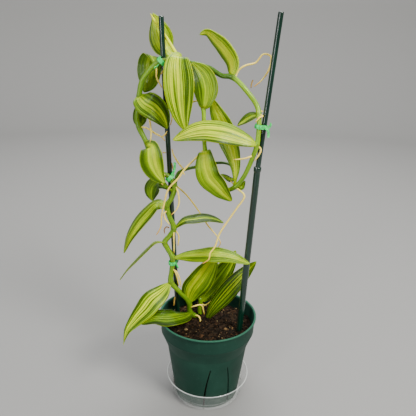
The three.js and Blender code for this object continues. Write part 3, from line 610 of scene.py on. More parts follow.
def makeLeafTree():
    # A closed blade along its spine. Its grid is folded, so that the columns run from margin to margin
    # and back underneath.
    tree, ask, give = newTree("Leaf blade", "GeometryNodeTree", [
        ("Spine", "Geometry", None), ("Width", "Float", 0.025), ("Widest", "Float", 0.42),
        ("Fullness", "Float", 0.72), ("Stalk", "Float", 0.0024), ("Face", "Vector", (0, -1, 0)),
        ("Tip Face", "Vector", (0, -1, 0)), ("Cup", "Float", 0.0), ("Crease", "Float", 0.3),
        ("Wave", "Float", 0.0), ("Ripples", "Float", 2.5), ("Channel", "Float", 0.0005),
        ("Ribbing", "Float", 0.0001), ("Ribs", "Float", 6.0), ("Midrib", "Float", 0.0019),
        ("Margin", "Float", 0.0008), ("Stations", "Int", 60), ("Columns", "Int", 49),
        ("Skin", "Material", None),
    ], [("Mesh", "Geometry", None)])

    # where each corner of the grid lies on the leaf
    sheet = put(tree, "GeometryNodeMeshGrid", {
        "Size X": 1.0, "Size Y": 1.0, "Vertices X": ask["Columns"],
        "Vertices Y": ask["Stations"]}).outputs["Mesh"]
    place = tree.nodes.new("GeometryNodeInputPosition").outputs[0]
    split = put(tree, "ShaderNodeSeparateXYZ", {"Vector": place}).outputs
    around = calc(tree, "ADD", split["X"], 0.5)
    along = calc(tree, "ADD", split["Y"], 0.5, clamp=True)
    across = calc(tree, "SUBTRACT", magnitude(tree, calc(tree, "MULTIPLY_ADD", around, 4.0, -2.0)), 1.0)
    side = calc(tree, "MULTIPLY_ADD", calc(tree, "LESS_THAN", around, 0.5), 2.0, -1.0)
    outward = magnitude(tree, across)
    square = times(tree, across, across)
    middle = calc(tree, "SINE", times(tree, along, math.pi))

    # the spine, with the leaf's face turning from foot to tip
    curve = put(tree, "GeometryNodeMeshToCurve", {"Mesh": ask["Spine"]}).outputs["Curve"]
    spine = put(tree, "GeometryNodeSampleCurve", {"Curves": curve, "Factor": along}, mode="FACTOR").outputs
    face = mixed(tree, "VECTOR", along, ask["Face"], ask["Tip Face"])
    lean = scaled(tree, spine["Tangent"], calcVector(tree, "DOT_PRODUCT", face, spine["Tangent"]))
    face = calcVector(tree, "NORMALIZE", calcVector(tree, "SUBTRACT", face, lean))
    sideways = calcVector(tree, "CROSS_PRODUCT", spine["Tangent"], face)

    # the outline: a hump that is highest at Widest, or the stalk where that is wider
    power = calc(tree, "LOGARITHM", 0.5, ask["Widest"])
    hump = calc(tree, "SINE", times(tree, calc(tree, "POWER", along, power), math.pi))
    body = calc(tree, "POWER", largest(tree, hump, 0.0), ask["Fullness"])
    body = times(tree, body, times(tree, ask["Width"], 0.5))
    stalk = times(tree, ask["Stalk"], calc(tree, "MULTIPLY_ADD", along, -4.0, 1.0, clamp=True))
    half = times(tree, largest(tree, body, stalk), calc(tree, "GREATER_THAN", along, 0.001))

    # the relief: cupped sides with a crease between them, a wavy margin, a channel down the middle, fine ribs
    fold = times(tree, calc(tree, "SUBTRACT", outward, square), ask["Crease"])
    fold = calc(tree, "ADD", square, fold)
    otherSide = times(tree, calc(tree, "GREATER_THAN", across, 0.0), 1.3)
    swing = calc(tree, "MULTIPLY_ADD", times(tree, along, ask["Ripples"]), 2 * math.pi, otherSide)
    ripple = times(tree, calc(tree, "SINE", swing), middle, times(tree, outward, ask["Wave"]))
    channel = calc(tree, "EXPONENT", times(tree, square, -60.0))
    channel = times(tree, channel, times(tree, middle, ask["Channel"]))
    ribs = calc(tree, "COSINE", times(tree, across, ask["Ribs"], 2 * math.pi))
    lift = calc(tree, "ADD", times(tree, fold, half, ask["Cup"]), ripple)
    lift = calc(tree, "SUBTRACT", lift, channel)
    lift = calc(tree, "ADD", lift, times(tree, ribs, middle, ask["Ribbing"]))

    # the thickness, which is nothing at the margins and at both ends
    slim = mixed(tree, "FLOAT", outward, ask["Midrib"], ask["Margin"])
    slim = times(tree, slim, calc(tree, "MULTIPLY_ADD", along, -0.35, 1.0))
    slim = times(tree, largest(tree, slim, ask["Margin"]), 0.5)
    for test, value, limit in (("LESS_THAN", outward, 0.999), ("GREATER_THAN", along, 0.001),
                               ("LESS_THAN", along, 0.999)):
        slim = times(tree, slim, calc(tree, test, value, limit))
    rise = calc(tree, "MULTIPLY_ADD", side, slim, lift)
    goal = calcVector(tree, "ADD", spine["Position"], scaled(tree, sideways, times(tree, across, half)))
    goal = calcVector(tree, "ADD", goal, scaled(tree, face, rise))

    under = calc(tree, "GREATER_THAN", around, 0.5)
    for name, value in (("across", across), ("along", along), ("under", under)):
        sheet = store(tree, sheet, name, value)
    sheet = put(tree, "GeometryNodeSetPosition", {"Geometry": sheet, "Position": goal}).outputs[0]
    sheet = put(tree, "GeometryNodeMergeByDistance", {"Geometry": sheet, "Distance": 0.000004}).outputs[0]
    sheet = put(tree, "GeometryNodeFlipFaces", {"Mesh": sheet}).outputs[0]
    sheet = put(tree, "GeometryNodeSetShadeSmooth", {"Geometry": sheet}).outputs[0]
    return endTree(tree, sheet, ask, give)


def makeScatterTree():
    # chips strewn over the upward faces of a surface, each with its own size, turn and tone
    tree, ask, give = newTree("Strewn chips", "GeometryNodeTree", [
        ("Ground", "Geometry", None), ("Chips", "Collection", None), ("Density", "Float", 40000.0),
        ("Spacing", "Float", 0.001), ("Smallest", "Float", 0.6), ("Largest", "Float", 1.6),
        ("Tilt", "Float", 0.5), ("Seed", "Int", 1), ("Skin", "Material", None),
    ], [("Mesh", "Geometry", None)])

    def draw(kind, low, high, step):
        seed = calc(tree, "ADD", ask["Seed"], step)
        node = put(tree, "FunctionNodeRandomValue", {"Seed": seed}, data_type=kind)
        lowIndex, highIndex, result = {"FLOAT_VECTOR": (0, 1, 0), "FLOAT": (2, 3, 1)}[kind]
        feed(tree, node.inputs[lowIndex], low)
        feed(tree, node.inputs[highIndex], high)
        return node.outputs[result]

    points = put(tree, "GeometryNodeDistributePointsOnFaces", {
        "Mesh": ask["Ground"], "Distance Min": ask["Spacing"], "Density Max": ask["Density"],
        "Seed": ask["Seed"]}, distribute_method="POISSON").outputs["Points"]
    kinds = put(tree, "GeometryNodeCollectionInfo", {
        "Collection": ask["Chips"], "Separate Children": True, "Reset Children": True}).outputs[0]
    lean = put(tree, "ShaderNodeCombineXYZ", {"X": ask["Tilt"], "Y": ask["Tilt"], "Z": math.pi}).outputs[0]
    turn = draw("FLOAT_VECTOR", scaled(tree, lean, -1.0), lean, 3)
    size = draw("FLOAT", ask["Smallest"], ask["Largest"], 5)
    chips = put(tree, "GeometryNodeInstanceOnPoints", {
        "Points": points, "Instance": kinds, "Pick Instance": True, "Rotation": turn,
        "Scale": size}).outputs[0]
    chips = store(tree, chips, "tone", draw("FLOAT", 0.0, 1.0, 7), domain="INSTANCE")
    return endTree(tree, chips, ask, give)


tubeTree = makeTubeTree()
leafTree = makeLeafTree()
scatterTree = makeScatterTree()
print("trees made")


# Turned bodies
def turned(name, profile, sides, material, centreX=0):
    # a closed turned body from a profile of (radius, height) that starts and ends on the axis
    body = bmesh.new()
    rows = []
    for radius, height in profile:
        row = []
        for i in range(sides if radius else 1):
            angle = 2 * math.pi * i / sides
            row.append(body.verts.new((
                (centreX + radius * math.cos(angle)) * mm, radius * math.sin(angle) * mm, height * mm)))
        rows.append(row)
    for low, high in zip(rows, rows[1:]):
        for i in range(sides):
            k = (i + 1) % sides
            corners = [low[i % len(low)], low[k % len(low)], high[k % len(high)], high[i % len(high)]]
            face = list(dict.fromkeys(corners))
            if len(face) > 2:
                body.faces.new(face).smooth = True
    bmesh.ops.recalc_face_normals(body, faces=body.faces)
    return newPiece(name, meshOf(name, body, material))


def rounded(profile, reach, steps=4, longest=4, most=0.45):
    # The profile with its inner corners rounded and its long stretches divided. A corner takes up no more
    # than a part of the shorter stretch beside it.
    points = [Vector(point) for point in profile]
    bent = [points[0]]
    for before, corner, after in zip(points, points[1:], points[2:]):
        near = min(reach, (before - corner).length * most, (after - corner).length * most)
        start = corner + (before - corner).normalized() * near
        end = corner + (after - corner).normalized() * near
        for k in range(steps + 1):
            share = k / steps
            bent.append(start.lerp(corner, share).lerp(corner.lerp(end, share), share))
    bent.append(points[-1])
    rows = [bent[0]]
    for start, end in zip(bent, bent[1:]):
        count = max(1, round((end - start).length / longest))
        rows += [start.lerp(end, (k + 1) / count) for k in range(count)]
    return rows


# Pot
pot = {
    "offsetX": -1, "baseZ": 1.8, "rimZ": 107.2, "rimRadius": 57.5, "rimWidth": 2, "rimDepth": 2.4,
    "collarRadius": 55.8, "collarFootRadius": 55.2, "collarFootZ": 88.5, "neckRadius": 48.1, "neckZ": 70.5,
    "baseRadius": 38.7, "baseLift": 1.2, "wall": 1.3, "floor": 1.6, "corner": 0.6, "sides": 168,
    "slitPairs": 3, "slitTurn": 18, "slitSpread": 44, "slitLean": 9.5, "slitBow": 1.6, "slitTop": 61,
    "slitWidth": 2.2, "slitTopWidth": 0.9, "slitSteps": 12, "slitLift": 0.6, "cutFrom": 26, "cutTo": 54,
    "sharpAngle": 50,
}


def slitCutter(turn, way):
    # a thin wedge that leans sideways as it rises
    body = bmesh.new()
    rows = []
    foot = pot["baseZ"] + pot["floor"] + pot["slitLift"]
    for i in range(pot["slitSteps"] + 1):
        share = i / pot["slitSteps"]
        bow = math.radians(turn + way * pot["slitLean"] * share ** pot["slitBow"])
        half = (pot["slitWidth"] * (1 - share) + pot["slitTopWidth"] * share) / 2 / pot["baseRadius"]
        height = foot * (1 - share) + pot["slitTop"] * share
        row = []
        for angle, radius in ((bow - half, pot["cutFrom"]), (bow + half, pot["cutFrom"]),
                              (bow + half, pot["cutTo"]), (bow - half, pot["cutTo"])):
            corner = (radius * math.sin(angle) * mm, -radius * math.cos(angle) * mm, height * mm)
            row.append(body.verts.new(corner))
        rows.append(row)
    for low, high in zip(rows, rows[1:]):
        for k in range(4):
            body.faces.new((low[k], low[(k + 1) % 4], high[(k + 1) % 4], high[k]))
    body.faces.new(rows[0][::-1])
    body.faces.new(rows[-1])
    bmesh.ops.recalc_face_normals(body, faces=body.faces)
    return newPiece("slit", meshOf("slit", body))


def cutSlit(piece, cutter):
    modifier = piece.modifiers.new("Slit", "BOOLEAN")
    modifier.object = cutter
    modifier.solver = "EXACT"
    graph = bpy.context.evaluated_depsgraph_get()
    mesh = bpy.data.meshes.new_from_object(piece.evaluated_get(graph), depsgraph=graph)
    piece.modifiers.clear()
    piece.data = mesh
    bpy.data.objects.remove(cutter)


def makePot():
    base = pot["baseZ"]
    floor = base + pot["floor"]
    lip = pot["rimZ"] - pot["rimDepth"]
    wall = pot["wall"]
    mouth = pot["rimRadius"] - pot["rimWidth"]
    outer = [(0, base + pot["baseLift"]), (pot["baseRadius"] * 0.55, base + pot["baseLift"]),
             (pot["baseRadius"] * 0.6, base), (pot["baseRadius"], base), (pot["neckRadius"], pot["neckZ"]),
             (pot["collarFootRadius"] - 0.5, pot["collarFootZ"] - 0.7),
             (pot["collarFootRadius"], pot["collarFootZ"] + 0.2), (pot["collarRadius"], lip),
             (pot["rimRadius"], lip + 0.3), (pot["rimRadius"], pot["rimZ"]), (mouth, pot["rimZ"])]
    inner = [(mouth - 0.3, pot["rimZ"] - 0.8), (pot["collarRadius"] - wall, lip),
             (pot["collarFootRadius"] - wall, pot["collarFootZ"]), (pot["neckRadius"] - wall, pot["neckZ"]),
             (pot["baseRadius"] - wall, floor), (0, floor)]
    piece = turned("potShell", rounded(outer + inner, pot["corner"]), pot["sides"], materials["pot"])
    for k in range(pot["slitPairs"]):
        middle = pot["slitTurn"] + 360 / pot["slitPairs"] * k
        cutSlit(piece, slitCutter(middle - pot["slitSpread"] / 2, 1))
        cutSlit(piece, slitCutter(middle + pot["slitSpread"] / 2, -1))
    piece.data.transform(Matrix.Translation((pot["offsetX"] * mm, 0, 0)))
    piece.data.set_sharp_from_angle(angle=math.radians(pot["sharpAngle"]))
    ride(piece, "pot_plastic", "pot")


makePot()
print("pot made")


# Saucer: its steps are (how far outside the foot, height)
saucer = {"footRadius": 41, "rimRadius": 50, "height": 26.8, "wall": 0.9, "floor": 1.5, "corner": 0.4,
          "sides": 144,
          "outerSteps": [(0, 0.8), (0.5, 3.4), (1.7, 4.4), (2.3, 8.6), (3.4, 9.6)],
          "innerSteps": [(3.4, 10), (2.3, 9), (1.7, 4.8), (0.5, 3.8)]}


def makeSaucer():
    foot = saucer["footRadius"]
    rim = saucer["rimRadius"]
    top = saucer["height"]
    wall = saucer["wall"]
    outer = [(0, 0), (foot - 1.2, 0)] + [(foot + out, height) for out, height in saucer["outerSteps"]]
    outer += [(rim - 1, top - 3), (rim, top - 1), (rim, top)]
    inner = [(rim - wall, top), (rim - wall - 1, top - 3)]
    inner += [(foot + out - wall, height) for out, height in saucer["innerSteps"]]
    inner += [(foot + 0.2 - wall, saucer["floor"]), (0, saucer["floor"])]
    profile = rounded(outer + inner, saucer["corner"])
    ride(turned("saucerShell", profile, saucer["sides"], materials["saucer"]), "saucer_plastic", "saucer")


makeSaucer()
print("saucer made")


# Soil and bark: each chip has its size, unevenness, seed and rounds of division, and 0 rounds make a block
soil = {
    "topZ": 90, "bump": 1.2, "rough": 1.1, "seed": 7, "sides": 120, "rows": 44, "groundSides": 72,
    "groundRows": 30,
    "chips": {
        "shapes": {"slab": ((4.2, 2.4, 1.0), 0.2, 1, 0), "splinter": ((5.5, 0.9, 0.7), 0.22, 2, 0),
                   "flake": ((2.8, 2.2, 0.6), 0.25, 3, 0), "knob": ((2.0, 1.7, 1.4), 0.12, 4, 1)},
        "density": 60000, "spacing": 2.4, "smallest": 0.5, "largest": 1.3, "tilt": 0.6},
    "crumbs": {
        "shapes": {"crumb": ((0.9, 0.75, 0.7), 0.15, 5, 1), "bit": ((1.3, 0.6, 0.5), 0.22, 6, 0)},
        "density": 420000, "spacing": 0.9, "smallest": 0.5, "largest": 1.5, "tilt": 1.5},
}


def soilHeight(corner):
    # a gentle swell with rough noise over it
    x = corner.co.x / mm
    y = corner.co.y / mm
    rise = math.sin(x * 0.21 + 1.1) * math.cos(y * 0.19) + 0.6 * math.sin(x * 0.43 - y * 0.37)
    rough = noise.fractal(Vector((x, y, soil["seed"])) * 0.22, 0.7, 2.1, 4)
    return soil["topZ"] + soil["bump"] * rise + soil["rough"] * rough


def soilTop(radius, rows):
    return [(radius * (1 - k / rows), soil["topZ"]) for k in range(rows)] + [(0, soil["topZ"])]


def makeSoil():
    wall = pot["wall"]
    edge = pot["collarFootRadius"] - wall - 0.6
    base = pot["baseZ"] + pot["floor"] + 0.3
    profile = [(0, base), (pot["baseRadius"] - wall - 0.4, base),
               (pot["neckRadius"] - wall - 0.4, pot["neckZ"]), (edge, pot["collarFootZ"] - 0.6)]
    profile += soilTop(edge - 0.2, soil["rows"])
    piece = turned("soilBed", profile, soil["sides"], materials["soil"], pot["offsetX"])
    for corner in piece.data.vertices:
        if corner.co.z > (soil["topZ"] - 0.1) * mm:
            corner.co.z = soilHeight(corner) * mm
    ride(piece, "soil_mix", "soil")


def chipShape(name, size, jitter, seed, rounds):
    body = bmesh.new()
    if rounds:
        bmesh.ops.create_icosphere(body, subdivisions=rounds, radius=0.5)
    else:
        bmesh.ops.create_cube(body, size=1)
        bmesh.ops.subdivide_edges(body, edges=body.edges[:], cuts=1, use_grid_fill=True)
    draw = random.Random(seed)
    for corner in body.verts:
        shift = [draw.uniform(-jitter, jitter) for _ in range(3)]
        corner.co = Vector([(a + b) * c * mm for a, b, c in zip(corner.co, shift, size)])
    return bpy.data.objects.new(name, meshOf(name, body))


def makeBark():
    profile = soilTop(pot["collarFootRadius"] - 3.6, soil["groundRows"])
    ground = turned("ground", profile, soil["groundSides"], materials["soil"], pot["offsetX"])
    for corner in ground.data.vertices:
        corner.co.z = (soilHeight(corner) + 0.2) * mm
    pieces = []
    for step, name in enumerate(("chips", "crumbs")):
        lot = soil[name]
        box = bpy.data.collections.new(name)
        for shape, sizes in lot["shapes"].items():
            box.objects.link(chipShape(shape, *sizes))
        piece = newPiece(name, ground.data.copy())
        pieces.append(runTree(piece, scatterTree, {
            "Chips": box, "Density": float(lot["density"]), "Spacing": lot["spacing"] * mm,
            "Smallest": lot["smallest"], "Largest": lot["largest"], "Tilt": lot["tilt"],
            "Seed": soil["seed"] + step, "Skin": materials["bark"]}))
    bpy.data.objects.remove(ground)
    ride(joined("barkChips", pieces), "soil_mix")


makeSoil()
makeBark()
print("soil made")


# Stakes
stakes = {
    "stakeLeft": {"from": (-34.9, 15, 30), "to": (-52.9, 9, 434), "radius": 2.75},
    "stakeRightUpper": {"from": (46.8, -10.9, 276), "to": (61.2, -13, 438), "radius": 2.75},
    "stakeRightLower": {"from": (32.6, -8.4, 18), "to": (47.6, -11, 289), "radius": 3.6,
                        "collar": 4.1, "collarHeight": 5},
}
stakeBase = {"sides": 28, "lumps": 0.12, "lumpScale": 60.0, "step": 3, "endReach": 1.6, "endLeast": 0.45,
             "footRows": [0, 0.25, 0.6, 1.1, 1.8], "topRows": [0.2, 0.9, 1.4, 1.75, 2]}


def collarRows(spec, places, length):
    # the lower stake ends in a collar: a small step outwards, and a rounded top edge
    foot = length - spec["collarHeight"]
    slim = spec["radius"]
    wide = spec["collar"]
    places = [place for place in places if place < foot - 0.4]
    radii = [slim] * len(places)
    places += [foot - 0.3, foot, foot + 0.4, length - 0.7, length - 0.2, length]
    return places, radii + [slim, wide - 0.25, wide, wide, wide - 0.15, wide - 0.6]


def makeStake(name, spec):
    start = Vector(spec["from"])
    end = Vector(spec["to"])
    length = (end - start).length
    places = stakeBase["footRows"] + list(range(3, int(length) - 2, stakeBase["step"]))
    places += [length - 2 + row for row in stakeBase["topRows"]]
    if "collar" in spec:
        places, radii = collarRows(spec, places, length)
    else:
        near = [min(place, length - place, stakeBase["endReach"]) / stakeBase["endReach"] for place in places]
        radii = [spec["radius"] * roundEnd(share, stakeBase["endLeast"]) for share in near]
    line = [start.lerp(end, place / length) * mm for place in places]
    piece = linePiece(name, [line], {"thick": [radius * mm for radius in radii]})
    runTree(piece, tubeTree, {"Sides": stakeBase["sides"], "Lump Height": stakeBase["lumps"] * mm,
                              "Lump Scale": stakeBase["lumpScale"], "Skin": materials["stake"]})
    ride(piece, "stake_coat", nodeName(name))


for stakeName, stakeSpec in stakes.items():
    makeStake(stakeName, stakeSpec)
print("stakes made")


# Twist ties: paper-covered wire, a band round stem and stake with free tails. "stem" and "stake" are the
# middles that the band holds, "axis" is the line that it lies round and "hold" is its inner radius.
ties = {
    "tieTop": {"stem": (-53, 3.7, 391), "stake": (-51.1, 9.6, 391), "axis": (0.75, 0, 0.66), "hold": 4.05,
               "tails": [[(-55, 0, 388), (-57, -2, 386), (-59, -3, 385)]]},
    "tieMiddle": {"stem": (-45.5, 5, 271.5), "stake": (-45, 11.3, 271), "axis": (-0.7, 0, 0.7), "hold": 4.25,
                  "tails": [[(-43, 1.5, 275), (-40, 1, 281), (-39.5, 2, 289)]]},
    "tieLow": {"stem": (-43.4, 6, 169), "stake": (-41, 13, 169), "axis": (0, 0, 1), "hold": 3.55,
               "tails": [[(-39.5, 6, 169), (-38, 3, 168), (-36, 1, 165)]]},
    "tieRight": {"stem": (46, -15.4, 331), "stake": (51.4, -11.6, 331), "axis": (0.15, 0, 1), "hold": 3.55,
                 "tails": [[(52, -17, 331), (56, -17, 331), (58, -17, 335)],
                           [(52, -17, 331), (55.5, -17, 327), (56, -17, 321)]]},
}
tape = {"width": 4.3, "thickness": 0.9, "tailWidth": 2.6, "tailThickness": 1.1, "bandSteps": 18,
        "tailSteps": 14, "tailTwist": 0.3, "sharpAngle": 40,
        "halfSection": [(-0.5, 0.16), (-0.47, 0.3), (-0.28, 0.26), (-0.13, 0.44), (0, 0.5), (0.13, 0.44),
                        (0.28, 0.26), (0.47, 0.3), (0.5, 0.16)]}


def tapeSection(width, thickness):
    # paper wings with the wire's ridge along the middle, the same on both faces
    half = [(a * width, b * thickness) for a, b in tape["halfSection"]]
    return half + [(a, -b) for a, b in reversed(half)]


def tapeStrip(body, line, ups, width, thickness, closed):
    section = tapeSection(width, thickness)
    rows = []
    count = len(line)
    for i, place in enumerate(line):
        before = line[i - 1 if i or closed else 0]
        after = line[(i + 1) % count if closed else min(i + 1, count - 1)]
        up = ups[i].normalized()
        out = (after - before).cross(up).normalized()
        wobble = 1 + 0.05 * math.sin(i * 1.7) + 0.03 * math.sin(i * 0.6)
        rows.append([body.verts.new(place + up * (a * wobble * mm) + out * (b * mm)) for a, b in section])
    links = list(zip(rows, rows[1:])) + ([(rows[-1], rows[0])] if closed else [])
    for low, high in links:
        for k in range(len(section)):
            n = (k + 1) % len(section)
            body.faces.new((low[k], low[n], high[n], high[k]))
    if not closed:
        body.faces.new(rows[0][::-1])
        body.faces.new(rows[-1])


def bandLine(spec, axis):
    # two half circles about the stem and the stake, joined by straight stretches
    stem = Vector(spec["stem"])
    stake = Vector(spec["stake"])
    reach = stake - stem
    reach -= axis * reach.dot(axis)
    side = reach.normalized()
    out = axis.cross(side)
    radius = spec["hold"] + tape["thickness"] / 2
    line = []
    for way in (1, -1):
        for k in range(tape["bandSteps"] + 1):
            angle = math.pi * k / tape["bandSteps"]
            spoke = side * math.sin(angle) - out * math.cos(angle)
            line.append(((stem + stake) / 2 + way * reach / 2 + way * radius * spoke) * mm)
    return line


def makeTie(name, spec):
    body = bmesh.new()
    axis = Vector(spec["axis"]).normalized()
    band = bandLine(spec, axis)
    tapeStrip(body, band, [axis] * len(band), tape["width"], tape["thickness"], True)
    count = tape["tailSteps"]
    for points in spec["tails"]:
        tail, _ = smoothLine(points, count)
        run = (tail[-1] - tail[0]).normalized()
        ups = [(axis + Vector((0, 0, tape["tailTwist"] * k / count))).normalized() for k in range(count)]
        ups = [up - run * up.dot(run) for up in ups]
        tapeStrip(body, tail, ups, tape["tailWidth"], tape["tailThickness"], False)
    bmesh.ops.recalc_face_normals(body, faces=body.faces)
    for face in body.faces:
        face.smooth = len(face.verts) == 4
    mesh = meshOf(name, body, materials["tie"])
    mesh.set_sharp_from_angle(angle=math.radians(tape["sharpAngle"]))
    ride(newPiece(name, mesh), "tie_tape", nodeName(name))


for tieName, tieSpec in ties.items():
    makeTie(tieName, tieSpec)
print("ties made")


# Vine: the line of the long stem from the soil to its growing tip, the joints where the stems swell, the side
# shoot that the long stem carries, and the short stem beside it
vinePoints = [
    (-12, 17, 78), (-14, 16, 90), (-22, 14, 98), (-24, 12, 114), (-35, 7, 131), (-45, 6, 144), (-44, 6, 160),
    (-43, 6, 175), (-49, 7, 187), (-52, 7, 194), (-46, 6, 203), (-41, 5, 212), (-46, 5, 226), (-49, 6, 238),
    (-43, 5, 249), (-40, 5, 262), (-47, 5, 273), (-56, 5, 277), (-64, 5, 294), (-71, 5, 312), (-76, 6, 322),
    (-79, 7, 333), (-78, 7, 345), (-76, 6, 357), (-73, 5, 371), (-67, 4, 380), (-59, 4, 388), (-50, 3, 392),
    (-36, 5, 391), (-21, 5, 390), (-5, 2, 386), (8, -2, 379), (18, -4, 378), (32, -9, 366), (44, -11, 350),
    (46, -14, 339), (46, -16, 328), (45, -17, 313), (42, -15, 301), (38, -13, 289), (33, -11, 277),
    (25, -8, 266), (17, -5, 262), (8, -3, 270), (-1, -2, 286), (-7, -3, 302), (-9, -4, 326), (-10, -4, 347),
    (-15, -3, 363), (-25, -2, 381), (-37, -1, 398),
]
joints = [
    (-22, 14, 98), (-24, 12, 114), (-45, 6, 144), (-43, 6, 175), (-52, 7, 194), (-41, 5, 212), (-49, 6, 238),
    (-40, 5, 264), (-67, 5, 303), (-77, 6, 325), (-76, 6, 357), (-59, 4, 388), (18, -4, 378), (45, -13, 343),
    (45, -17, 313), (25, -8, 266), (-7, -3, 302), (-10, -4, 347), (-37, -1, 398),
]
sidePoints = [
    (-40, 5, 264), (-36, 8, 276), (-27, 11, 280), (-13, 12, 283), (3, 11, 287), (13, 9, 288), (21, 6, 286),
    (26, 4, 278), (25, 3, 271),
]
lowPoints = [(-8, 24, 78), (-11, 24, 97), (-10, 24, 107), (-11, 24, 114)]
stem = {"radius": 3.0, "tipRadius": 2.1, "swell": 0.15, "reach": 5, "ring": 0.16, "ringReach": 0.9,
        "endSteps": 2.5, "endLeast": 0.35, "sides": 24, "lumps": 0.5, "lumpScale": 90.0, "rows": 620,
        "sideRadius": 2.0, "sideTaper": 0.3, "sideRows": 60, "sidePaintedShadeYouth": 0.05,
        "lowRadius": 2.7, "lowRows": 30, "lowYouth": 0.35}

# How young the stem is at some of the vine's points, counted from the soil
youthStops = [
    (0, 0.1), (3, 0.3), (5, 0.45), (12, 0.4), (19, 0.4), (25, 0.42), (28, 0.12), (29, 0.03), (32, 0.03),
    (32.3, 0.75), (35, 0.9), (37, 0.7), (39, 0.5), (42, 0.3), (44, 0.6), (46, 0.9), (50, 1.0),
]


def youthAt(place):
    spot = place / mm
    best = (1e9, 0)
    for i, (first, second) in enumerate(zip(vinePoints, vinePoints[1:])):
        start = Vector(first)
        step = Vector(second) - start
        share = min(1, max(0, (spot - start).dot(step) / step.length_squared))
        best = min(best, ((start + step * share - spot).length, i + share))
    for (low, first), (high, last) in zip(youthStops, youthStops[1:]):
        if best[1] <= high:
            return first + (last - first) * (best[1] - low) / (high - low)
    return youthStops[-1][1]


def nearestJoint(place):
    return min((Vector(joint) - place / mm).length for joint in joints)


def stemPiece(name, runs):
    # Several stems in one piece. Each run has its points, its number of rows, its radius by share of the
    # length and nearness to a joint, and its youth by place.
    lines = []
    values = {"thick": [], "scar": [], "youth": []}
    for points, count, size, youth in runs:
        line, _ = smoothLine(points, count)
        lines.append(line)
        for i, place in enumerate(line):
            near = nearestJoint(place)
            scar = math.exp(-(near / stem["ringReach"]) ** 2)
            radius = size(i / (count - 1), near) + stem["ring"] * scar
            end = roundEnd(min(1, (count - 1 - i) / stem["endSteps"]), stem["endLeast"])
            values["thick"].append(radius * end * mm)
            values["scar"].append(scar)
            values["youth"].append(youth(place))
    piece = linePiece(name, lines, values)
    return runTree(piece, tubeTree, {"Sides": stem["sides"], "Lump Height": stem["lumps"] * mm,
                                     "Lump Scale": stem["lumpScale"], "Skin": materials["stem"]})


def swollen(near):
    return 1 + stem["swell"] * math.exp(-(near / stem["reach"]) ** 2)


def mainSize(share, near):
    return stem["radius"] * swollen(near) * (1 + (stem["tipRadius"] / stem["radius"] - 1) * share)


def sideSize(share, near):
    return stem["sideRadius"] * (1 - stem["sideTaper"] * share) * swollen(near * 1.5)


def makeStems():
    mainRun = (vinePoints, stem["rows"], mainSize, youthAt)
    # the side shoot gets nearly the oldest, darkest stem colour as painted shade, for it lies behind the
    # leaves
    sideRun = (sidePoints, stem["sideRows"], sideSize, lambda place: stem["sidePaintedShadeYouth"])
    lowRun = (lowPoints, stem["lowRows"], lambda share, near: stem["lowRadius"],
              lambda place: stem["lowYouth"])
    ride(stemPiece("vineStem", [mainRun, sideRun]), "stem_skin", "vine")
    ride(stemPiece("stemLow", [lowRun]), "stem_skin", "stem_low")


makeStems()
print("stems made")


# Leaves: each spine starts on the middle of its stem. "look" has seed, yellow, middle, spread and stripe.
leafBase = {"width": 25, "spineRows": 90, "widest": 0.42, "fullness": 0.72, "stalk": 2.4, "cup": 0,
            "crease": 0.35, "wave": 0, "ripples": 2.5, "channel": 0.6, "ribbing": 0.05, "ribs": 3.5,
            "midrib": 1.9, "margin": 0.8, "stations": 64, "columns": 65, "kind": "leaf_green"}
